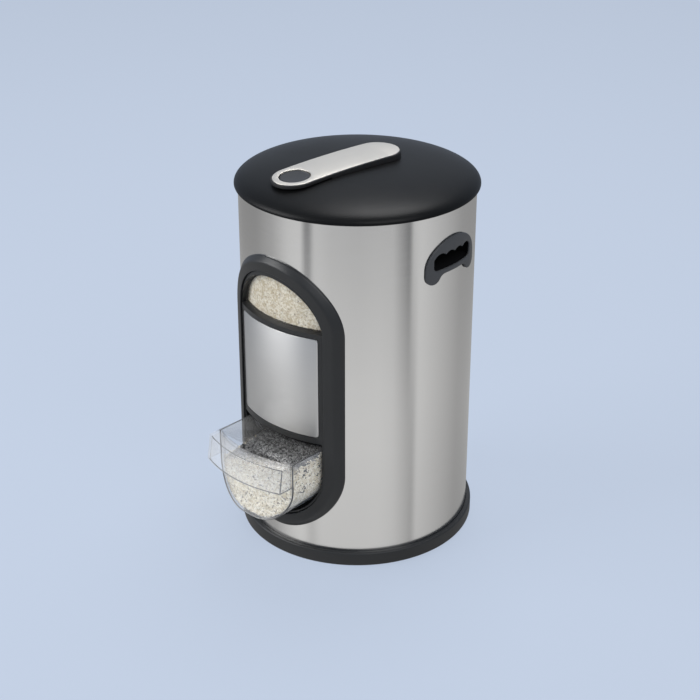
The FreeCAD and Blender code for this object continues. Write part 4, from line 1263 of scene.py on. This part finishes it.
# ---- lid ------------------------------------------------------------------------------------
@dataclass
class Lid:
    """Domed lid with its liner, grip pad, bright trim and vent button.

    The button's dish gives heights in millimetres by share of its radius. The coil's ends together take
    up the coil room, in wire thicknesses.
    """

    edge: float = 0.395
    radius: float = 0.129
    wall: float = 0.0028
    shoulder: float = 0.107
    bulge: float = 0.021
    skirt: float = 0.0012
    skirt_edge: float = 0.0009
    rise: float = 0.0001
    dome_steps: int = 40
    below: float = 0.38
    above: float = 0.45
    grip_turn: float = -8.4
    grip_front: float = 0.081
    grip_back: float = 0.0268
    trim_half: float = 0.023
    margin: float = 0.0018
    pad_top: float = 0.4230
    pad_thick: float = 0.008
    pad_edge: float = 0.0009
    pad_sink: float = 0.00025
    seat_thick: float = 0.004
    seat_depth: float = 0.003
    seat_room: float = 0.00015
    pad_nose: float = 0.0028
    gap_half: float = 0.05
    gap_reach: float = 0.13
    nose_start: float = 0.052
    nose_lean: float = 5.2
    fall_start: float = 0.030
    fall_rate: float = 0.3954
    trim_thick: float = 0.0014
    trim_edge: float = 0.00035
    trim_proud: float = 0.0004
    slab_strip: float = 0.006
    button: float = 0.016
    button_room: float = 0.00045
    button_thick: float = 0.003
    button_slope: float = 0.002
    button_dish: tuple[Point, ...] = (
        (0.0, -0.7), (0.35, -0.62), (0.62, -0.35), (0.80, -0.1), (0.88, 0.0), (0.95, -0.15), (0.99, -0.6),
        (1.0, -1.1))
    stem: float = 0.0028
    wire: float = 0.0004
    coil_turns: int = 3
    coil_steps: int = 24
    coil_room: float = 2.2
    button_travel: float = 0.0025
    button_sink: float = 0.0004
    button_foot: float = 0.3957
    well_radius: float = 0.0182
    well_sink: float = 0.0002
    well_seam: float = 0.0001
    well_wall: float = 0.0018
    well_floor: float = 0.4034
    liner_top: float = 0.4016

    def curve(self, depth: float) -> list[Point]:
        """Outer or inner line of the dome, from the skirt to the pole, a depth inside the outside."""
        flat, level = self.radius - self.shoulder, self.edge + self.skirt
        out, up = self.shoulder - depth, self.bulge - depth
        turns = [math.pi / 2 * index / self.dome_steps for index in range(self.dome_steps + 1)]
        bend = [(flat + out * math.cos(turn), level + up * math.sin(turn)) for turn in turns]
        return bend + [(0.0, level + self.bulge + self.rise - depth)]

    def level(self, y: float, rise: float = 0.0) -> float:
        """Height of the pad's top at a place along the grip."""
        return self.pad_top + rise - self.fall_rate * max(0.0, self.fall_start - y) ** 2

    def slot(self, half: float, steps: int = 32) -> list[Point]:
        """Outline of the grip seen from above, at the front and not yet turned."""
        back = arc((0.0, self.grip_back), half, 0, 180, steps)
        return back + arc((0.0, -self.grip_front), half, 180, 360, steps)

    def slab(self, name: str, loops: Sequence[Sequence[Point]], thick: float, rounding: float) -> Shape:
        """Level slab from outlines seen from above, its top at height 0."""
        slab = Shape.sheet(name, loops, 0.0, thick, rounding, 3)
        lay_down = Matrix.Translation((0, 0, -thick)) @ Matrix.Rotation(-math.pi / 2, 4, "X")
        slab.obj.data.transform(lay_down)
        return slab

    def sloped(self, shape: Shape, rise: float = 0.0) -> Shape:
        """Lays a slab's top on the pad's sloping level, then turns it to the grip's direction."""
        shape.strips(self.slab_strip, axis=1)
        shape.move_points(lambda point: Vector((point.x, point.y, point.z + self.level(point.y, rise))))
        return shape.turn(self.grip_turn)

    def build(self) -> None:
        """Makes the lid's pieces."""
        self.shell()
        self.grip()
        self.press_button()
        self.coil()

    def shell(self) -> None:
        """Makes the domed shell with the button's well."""
        edge, bevel = self.skirt_edge, 0.25 * MM
        outer = [(self.radius - edge, self.edge), (self.radius - bevel, self.edge + bevel),
                 (self.radius, self.edge + edge)] + self.curve(0.0)
        inner = [(self.radius - self.wall, self.edge)] + self.curve(self.wall)
        shell = Shape.turned("lid_cover", list(reversed(inner)) + outer, 224)
        x, y = Matrix.Rotation(math.radians(self.grip_turn), 2) @ Vector((0.0, -self.grip_front))
        foot = self.liner_top + self.well_seam
        well = Shape.rod("well", self.well_radius, foot, self.above, (x, y), 64)
        dome = [(0.0, self.below), (self.radius, self.below)] + self.curve(self.well_sink)
        shell.fuse(well.keep(Shape.turned("under", dome, 224)))
        bore = self.well_radius - self.well_wall
        shell.cut(Shape.rod("bore", bore, self.well_floor, self.above, (x, y), 64))
        shell.dress(LID_BLACK, Body.LID, "lid_shell")

    def grip(self) -> None:
        """Makes the pad and the bright trim let into it."""
        hole = arc((0.0, -self.grip_front), self.button + self.button_room, 0, 360, 64)[:-1]
        outside = self.slot(self.trim_half + self.margin)
        pad = self.slab("grip_pad_body", [outside, hole], self.pad_thick, self.pad_edge)
        seat = self.slab("seat", [self.slot(self.trim_half + self.seat_room)], self.seat_thick, 0.0)
        pad.cut(seat.move(0, 0, self.seat_depth))
        self.sloped(pad)
        pad.cut(self.nose_gap())
        pad.cut(Shape.turned("dome", [(self.radius, self.below)] + self.curve(self.pad_sink), 96))
        pad.dress(PAD_RUBBER, Body.LID, "grip_pad")
        trim = self.slab("grip_trim_plate", [self.slot(self.trim_half), hole], self.trim_thick,
                         self.trim_edge)
        self.sloped(trim, self.trim_proud).dress(TRIM_METAL, Body.LID, "grip_trim")

    def nose_gap(self) -> Shape:
        """Solid that frees the pad's nose from the dome, with a leaning top."""
        front, top = -self.nose_start, self.level(-self.nose_start) - self.pad_nose
        gap = Shape.block("gap", (-self.gap_half, -self.gap_reach, self.below),
                          (self.gap_half, front, top))
        tilt = Matrix.Rotation(math.radians(self.nose_lean), 4, "X")
        pivot = Matrix.Translation((0, front, top))
        gap.obj.data.transform(pivot @ tilt @ pivot.inverted())
        return gap.turn(self.grip_turn)

    def press_button(self) -> None:
        """Makes the button, slightly dished and sloped with the pad, and its stem."""
        radius, thick = self.button, self.button_thick
        dish = [(radius * share, height * MM) for share, height in self.button_dish]
        knob = Shape.turned("lid_button_cap", dish + [(radius, -thick), (0.0, -thick)], 64)
        top = self.level(-self.grip_front) - self.button_sink
        fall = math.tan(math.radians(self.nose_lean))

        def slope(point: Vector) -> Vector:
            if point.z > -self.button_slope:
                point.z += point.y * fall
            return point

        knob.move_points(slope).move(0.0, -self.grip_front, top)
        head = top - self.button_slope
        knob.fuse(Shape.rod("stem", self.stem, self.button_foot, head, (0.0, -self.grip_front), 32))
        knob.turn(self.grip_turn).dress(BUTTON_GREY, Body.BUTTON, "lid_button")

    def coil(self) -> None:
        """Makes the spring under the button."""
        low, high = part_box("button_spring")
        middle = (low + high) / 2
        reach = (high.x - low.x) / 2 - self.wire
        rise = high.z - low.z - self.coil_room * self.wire
        steps = self.coil_turns * self.coil_steps
        course = []
        for step in range(steps + 1):
            turn = math.tau * step / self.coil_steps
            level = low.z + self.wire + rise * step / steps
            course.append((middle.x + reach * math.cos(turn), middle.y + reach * math.sin(turn), level))
        coil = Shape.wire("button_coil", course, self.wire).dress(SCREW_STEEL, Body.LID, "button_spring")
        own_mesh(coil.obj)


# ---- rice -----------------------------------------------------------------------------------
@dataclass
class Rice:
    """Raw rice in the drawer, behind the window and in the hopper.

    The heap in the drawer leans to one side, climbs towards the back and has ripples. The counts are
    numbers of grains, and the tilts are spreads of their lean in radians.
    """

    seed: int = 7
    grain_length: float = 0.0058
    grain_width: float = 0.0019
    least_size: float = 0.82
    most_size: float = 1.08
    strip: float = 0.006
    room: float = 0.0015
    near_top: float = 1e-5
    drawer_top: float = 0.1385
    drawer_front: float = -0.066
    proud: float = 0.0002
    heap_half: float = 0.054
    heap_front: float = -0.166
    heap_run: float = 0.075
    heap_level: float = 0.1165
    heap_lean: float = 0.0115
    heap_climb: float = 0.012
    heap_round: float = 0.003
    ripple: float = 0.0009
    ripple_waves: Point = (190.0, 160.0)
    window_back: float = 0.1198
    window_room: float = 0.0008
    hopper_radius: float = 0.1170
    hopper_half: float = 0.0946
    hopper_foot: float = 0.276
    hopper_top: float = 0.346
    hopper_strip: float = 0.009
    hopper_swell: float = 0.005
    hopper_drop: float = 0.003
    hopper_waves: Point = (22.0, 20.0)
    flat: float = 0.5
    back_wall: float = 0.7
    heap_tilt: float = 0.75
    side_tilt: float = 0.08
    window_tilt: float = 0.06
    hopper_tilt: float = 0.4
    top_count: int = 3600
    side_count: int = 6400
    window_count: int = 2300
    hopper_count: int = 5200
    rng: random.Random = field(init=False)

    def __post_init__(self) -> None:
        """Starts the random draws."""
        self.rng = random.Random(self.seed)

    def grain(self) -> tuple[list[Vector], list[tuple[int, ...]]]:
        """Points and faces of one low-poly grain, lying along X."""
        deselect()
        bpy.ops.mesh.primitive_uv_sphere_add(segments=5, ring_count=4, radius=1.0,
                                             rotation=(0, math.pi / 2, 0))
        shape = Shape.added("grain")
        size = Vector((self.grain_length / 2, self.grain_width / 2, self.grain_width / 2))
        points = [vertex.co * size for vertex in shape.obj.data.vertices]
        faces = [tuple(face.vertices) for face in shape.obj.data.polygons]
        bpy.data.objects.remove(shape.obj)
        return points, faces

    def scatter(self, name: str, bed: Shape, count: int, rule: Callable[[Vector, Vector], bool],
                sink: float = 0.0, tilt: float = 0.25) -> Shape:
        """Grains strewn over a bed's surface.

        Args:
            name: the piece's name.
            bed: the shape that they lie on.
            count: number of draws.
            rule: which centres and normals may carry a grain.
            sink: how far the grains' centres lie inside the surface.
            tilt: spread of the grains' lean in radians.

        Returns:
            All the grains as one shape.
        """
        mesh = bed.obj.data
        mesh.calc_loop_triangles()
        usable = [tri for tri in mesh.loop_triangles if rule(Vector(tri.center), Vector(tri.normal))]
        chosen = self.rng.choices(usable, [tri.area for tri in usable], k=count)
        corners, faces = self.grain()
        points: list[Place] = []
        polygons: list[tuple[int, ...]] = []
        for tri in chosen:
            a, b, c = (mesh.vertices[index].co for index in tri.vertices)
            u, v = sorted((self.rng.random(), self.rng.random()))
            normal = Vector(tri.normal)
            spot = a * u + b * (v - u) + c * (1 - v) - normal * (sink + self.rng.uniform(0.0, 0.5 * MM))
            side = normal.orthogonal().normalized()
            side.rotate(Matrix.Rotation(self.rng.uniform(0, math.tau), 3, normal))
            side.rotate(Matrix.Rotation(self.rng.gauss(0, tilt), 3, normal.cross(side)))
            up = side.cross(normal.cross(side)).normalized() * -1
            across = up.cross(side)
            size = self.rng.uniform(self.least_size, self.most_size)
            start = len(points)
            for corner in corners:
                point = spot + (side * corner.x + across * corner.y + up * corner.z) * size
                points.append(point.to_tuple())
            polygons.extend(tuple(start + index for index in face) for face in faces)
        made = bpy.data.meshes.new(name)
        made.from_pydata(points, [], polygons)
        shape = Shape(name, in_scene(name, made))
        with editing(shape.obj):
            bpy.ops.mesh.normals_make_consistent(inside=False)
        return shape

    def heap(self, point: Vector) -> float:
        """Height of the rice in the drawer."""
        across = point.x / self.heap_half
        along = max(0.0, min(1.0, (point.y - self.heap_front) / self.heap_run))
        side, deep = self.ripple_waves
        ripple = self.ripple * math.sin(point.x * side + 1.0) * math.cos(point.y * deep)
        slope = self.heap_lean * across + self.heap_climb * along - self.heap_round * across ** 2
        return self.heap_level + slope + ripple

    def on_heap(self, spot: Vector, normal: Vector) -> bool:
        """Whether a face of the drawer's rice is on its top and far enough out to be seen."""
        return normal.z > self.flat and spot.y < self.drawer_front

    def on_side(self, _: Vector, normal: Vector) -> bool:
        """Whether a face of the drawer's rice lies against the tub's front, sides or bottom."""
        return normal.z <= self.flat and normal.y < self.back_wall

    def build(self, drawer: Drawer, panel: FrontPanel) -> None:
        """Makes all the rice."""
        self.in_drawer(drawer)
        self.in_window(panel)
        self.in_hopper()

    def in_drawer(self, drawer: Drawer) -> None:
        """Makes the rice in the drawer."""
        bed = drawer.block("rice_drawer_bed", drawer.wall + self.room, self.drawer_top)
        bed.strips(self.strip, 0).strips(self.strip, 1)

        def settle(point: Vector) -> Vector:
            if point.z > self.drawer_top - self.near_top:
                point.z = self.heap(point)
            return point

        bed.move_points(settle)
        with editing(bed.obj):
            bpy.ops.mesh.normals_make_consistent(inside=False)
        upper = self.scatter("rice_drawer_top", bed, self.top_count, self.on_heap, 0.0, self.heap_tilt)
        sides = self.scatter("rice_drawer_sides", bed, self.side_count, self.on_side, -self.proud,
                             self.side_tilt)
        bed.dress(RICE_BED_SHADE, Body.DRAWER)
        upper.dress(RICE_TOP, Body.DRAWER)
        sides.dress(RICE, Body.DRAWER)

    def in_window(self, panel: FrontPanel) -> None:
        """Makes the rice behind the window."""
        bed = Shape.sheet("rice_window_bed", [panel.window(self.window_room)], self.window_back,
                          panel.pane_back - self.room)
        bed.strips(self.strip).wrap()
        grains = self.scatter("rice_window_grains", bed, self.window_count,
                              lambda _, normal: normal.y < -self.flat, -self.proud, self.window_tilt)
        bed.dress(WINDOW_BED_SHADE, Body.BODY)
        grains.dress(RICE, Body.BODY)

    def in_hopper(self) -> None:
        """Makes the rice in the hopper, under the lid."""
        bed = Shape.rod("rice_hopper_bed", self.hopper_radius, self.hopper_foot, self.hopper_top,
                        segments=128)
        bed.keep(Shape.block("flats", (-self.hopper_half, -FAR, 0.2), (self.hopper_half, FAR, 0.5)))
        bed.strips(self.hopper_strip, 0).strips(self.hopper_strip, 1)
        side, deep = self.hopper_waves

        def settle(point: Vector) -> Vector:
            if point.z > self.hopper_top - self.near_top:
                swell = self.hopper_swell * math.cos(point.x * side) * math.cos(point.y * deep)
                point.z += swell - self.hopper_drop
            return point

        bed.move_points(settle)
        grains = self.scatter("rice_hopper_top", bed, self.hopper_count,
                              lambda _, normal: normal.z > self.flat, 0.0, self.hopper_tilt)
        bed.dress(WINDOW_BED_SHADE, Body.BODY)
        grains.dress(RICE, Body.BODY)


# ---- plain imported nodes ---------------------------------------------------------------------
@dataclass(frozen=True)
class HiddenFittings:
    """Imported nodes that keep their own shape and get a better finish."""

    finishes: tuple[tuple[str, Finish], ...] = (
        ("base_screws", SCREW_STEEL), ("frame_screws", SCREW_STEEL), ("collar", COLLAR_BLACK),
        ("hopper_rim", HOPPER_WHITE), ("hopper_bin", HOPPER_WHITE), ("hopper_chute", HOPPER_WHITE),
        ("clamp_ring", INNER_BLACK), ("drawer_sleeve", INNER_BLACK), ("lid_liner", COLLAR_BLACK),
        ("lid_seal", SEAL_RUBBER), ("vent_washer", SEAL_RUBBER),
    )

    def dress(self, nodes: dict[str, bpy.types.Object]) -> None:
        """Gives each node its finish."""
        for name, finish in self.finishes:
            mesh = nodes[name].data
            mesh.materials.clear()
            mesh.materials.append(finish.material())
            log.info("%s: packed node in %s", name, finish.name)


# ---- studio ---------------------------------------------------------------------------------
@dataclass
class Studio:
    """Floor, light and camera.

    The steel mirrors a card under the floor. The card's tones are strengths by direction in degrees, one
    table far from the drum and one near it, and its reaches are distances from the drum's axis. The seam
    turns the tables' ends to the side that faces away from the view. A lamp is a name, a place, a size
    and a power.
    """

    backdrop: Colour = (0.527, 0.604, 0.738)
    sky: Colour = (0.93, 0.95, 1.0)
    sky_strength: float = 0.42
    glossy_strength: float = 0.7
    floor_size: float = 14.0
    floor_tones: Point = (0.82, 0.84)
    floor_glow: float = 0.80
    lamps: tuple[tuple[str, Place, float, float], ...] = (
        ("key_lamp", (-1.6, -2.2, 1.5), 2.0, 84.0), ("fill_lamp", (2.4, -0.8, 2.2), 2.2, 46.0),
        ("top_lamp", (-0.30, 0.74, 2.4), 1.1, 36.0), ("back_lamp", (-1.7, 1.8, 1.5), 2.0, 1.5))
    lamps_aim: Place = (0.0, 0.0, 0.2)
    lens: float = 80.07
    sensor: float = 36.0
    clip_end: float = 50.0
    eye: Place = (1.0460, -1.1217, 0.9625)
    pitch: float = 26.52
    yaw: float = 43.29
    card_depth: float = 3.0
    card_radius: float = 14.0
    card_glow: float = 1.25
    far_reach: float = 8.4
    near_reach: float = 6.0
    low_reach: float = 4.6
    low_share: float = 0.78
    view_turn: float = 43.0
    seam: float = 540.0
    far_tones: tuple[Point, ...] = (
        (-150, 0.25), (-70, 0.28), (-45, 0.37), (-26, 0.55), (-12, 0.63), (-7, 0.11), (-3.5, 0.13),
        (2, 0.60), (19, 0.48), (45, 0.43), (77, 0.46), (86.5, 0.23), (93.5, 0.08), (98, 0.65),
        (109, 0.64), (162, 0.33))
    near_tones: tuple[Point, ...] = (
        (-150, 0.37), (-70, 0.42), (-50, 0.45), (-30, 0.73), (-19, 0.83), (-12, 0.83), (-3, 0.65),
        (6, 0.80), (65, 0.79), (80, 0.73), (95, 0.58), (100, 0.44), (106, 0.71), (126, 0.60), (162, 0.40))

    def build(self) -> None:
        """Makes the stage."""
        self.floor()
        self.table_card()
        self.world()
        for name, place, size, power in self.lamps:
            self.lamp(name, place, size, power)
        self.camera()

    def floor(self) -> None:
        """Makes the pale floor, which shows its colour to the camera and keeps a soft shadow."""
        deselect()
        bpy.ops.mesh.primitive_plane_add(size=self.floor_size)
        floor = Shape.added("floor")
        shader = Shader("floor_paint")
        grain = shader.noise(shader.place(), 3.0, 2.0)
        dark, light = (tuple(channel * share for channel in self.backdrop) for share in self.floor_tones)
        shader.set(Base_Color=shader.blend(grain, dark, light), Roughness=0.9, Specular_IOR_Level=0.0)
        paint = shader.node("ShaderNodeEmission", {}, {"Color": (*self.backdrop, 1.0), "Strength": 1.0})
        path = shader.node("ShaderNodeLightPath", {}, {})
        ways = [Flow(shader, path.socket.node.outputs[name])
                for name in ("Is Camera Ray", "Is Glossy Ray", "Is Transmission Ray")]
        seen = ways[0].math("MAXIMUM", ways[0].math("MAXIMUM", ways[0], ways[1]), ways[2])
        shader.join(seen * self.floor_glow, paint)
        floor.obj.data.materials.append(shader.material)
        floor.obj.visible_glossy = False

    def table_card(self) -> None:
        """Makes the card under the floor that only reflections see, with a tone for each direction."""
        deselect()
        bpy.ops.mesh.primitive_circle_add(vertices=96, radius=self.card_radius, fill_type="NGON",
                                          location=(0, 0, -self.card_depth))
        card = Shape.added("table_card")
        shader = Shader("card_tones")
        place = shader.node("ShaderNodeTexCoord", {}, {}, output=3)
        split = shader.node("ShaderNodeSeparateXYZ", {}, {0: place}).socket.node.outputs
        x, y = Flow(shader, split[0]), Flow(shader, split[1])
        turn = x.math("ARCTAN2", x, 0.0 - y) * (180 / math.pi) - self.view_turn + self.seam
        share = turn.math("WRAP", turn, 0.0, 360.0) * (1 / 360)
        near, far = (shader.node("ShaderNodeValToRGB", {"stops": self.stops(tones)}, {0: share})
                     for tones in (self.near_tones, self.far_tones))
        distance = (x * x + y * y) ** 0.5
        reach = shader.ramp(distance, From_Min=self.near_reach, From_Max=self.far_reach)
        dim = shader.ramp(distance, From_Min=self.low_reach, From_Max=self.near_reach,
                          To_Min=self.low_share)
        tone = shader.blend(reach, near * dim, far)
        glow = shader.node("ShaderNodeEmission", {}, {"Color": tone, "Strength": self.card_glow})
        shader.feed(shader.output.inputs["Surface"], glow)
        card.obj.data.materials.append(shader.material)
        for way in ("camera", "diffuse", "transmission", "shadow", "volume_scatter"):
            setattr(card.obj, f"visible_{way}", False)

    def stops(self, tones: Sequence[Point]) -> list[Point]:
        """Stops of a ramp round the card, from tones by direction."""
        return sorted((((azimuth - self.view_turn + self.seam) % 360) / 360, level)
                      for azimuth, level in tones)

    def world(self) -> None:
        """Makes the even light all round, and the backdrop's colour behind the floor's edge."""
        world = bpy.data.worlds.new("studio")
        bpy.context.scene.world = world
        world.use_nodes = True
        nodes, links = world.node_tree.nodes, world.node_tree.links
        light = nodes["Background"]
        light.inputs["Color"].default_value = (*self.sky, 1.0)
        light.inputs["Strength"].default_value = self.sky_strength
        paths = nodes.new("ShaderNodeLightPath").outputs
        ends = light.outputs[0]
        layers = ((self.glossy_strength, ("Is Glossy Ray",)),
                  (1.0, ("Is Camera Ray", "Is Transmission Ray")))
        for strength, ways in layers:
            backdrop = nodes.new("ShaderNodeBackground")
            backdrop.inputs["Color"].default_value = (*self.backdrop, 1.0)
            backdrop.inputs["Strength"].default_value = strength
            for way in ways:
                mixed = nodes.new("ShaderNodeMixShader")
                links.new(paths[way], mixed.inputs[0])
                links.new(ends, mixed.inputs[1])
                links.new(backdrop.outputs[0], mixed.inputs[2])
                ends = mixed.outputs[0]
        links.new(ends, nodes["World Output"].inputs["Surface"])

    def lamp(self, name: str, place: Place, size: float, power: float) -> None:
        """Makes a soft square lamp that points at the middle of the drum."""
        data = bpy.data.lights.new(name, "AREA")
        data.shape, data.size, data.energy = "SQUARE", size, power
        lamp = in_scene(name, data)
        lamp.location = place
        aim = Vector(self.lamps_aim) - Vector(place)
        lamp.rotation_euler = aim.to_track_quat("-Z", "Y").to_euler()
        lamp.visible_camera = False

    def camera(self) -> None:
        """Makes the camera."""
        data = bpy.data.cameras.new("camera")
        data.sensor_width, data.lens, data.clip_end = self.sensor, self.lens, self.clip_end
        camera = in_scene("camera", data)
        camera.location = self.eye
        camera.rotation_euler = (math.radians(90 - self.pitch), 0, math.radians(self.yaw))
        bpy.context.scene.camera = camera
        bpy.context.scene.view_settings.view_transform = "Standard"


def main() -> None:
    """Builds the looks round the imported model."""
    logging.basicConfig(level=logging.INFO, format="%(message)s")
    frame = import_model()
    deselect()
    panel, grips, drawer = FrontPanel(), HandGrips(), Drawer()
    Base().build()
    Drum().build(panel, grips)
    panel.build()
    grips.build()
    drawer.build()
    Lid().build()
    Rice().build(drawer, panel)
    HiddenFittings().dress(frame["nodes"])
    Studio().build()


if __name__ == "__main__":
    main()
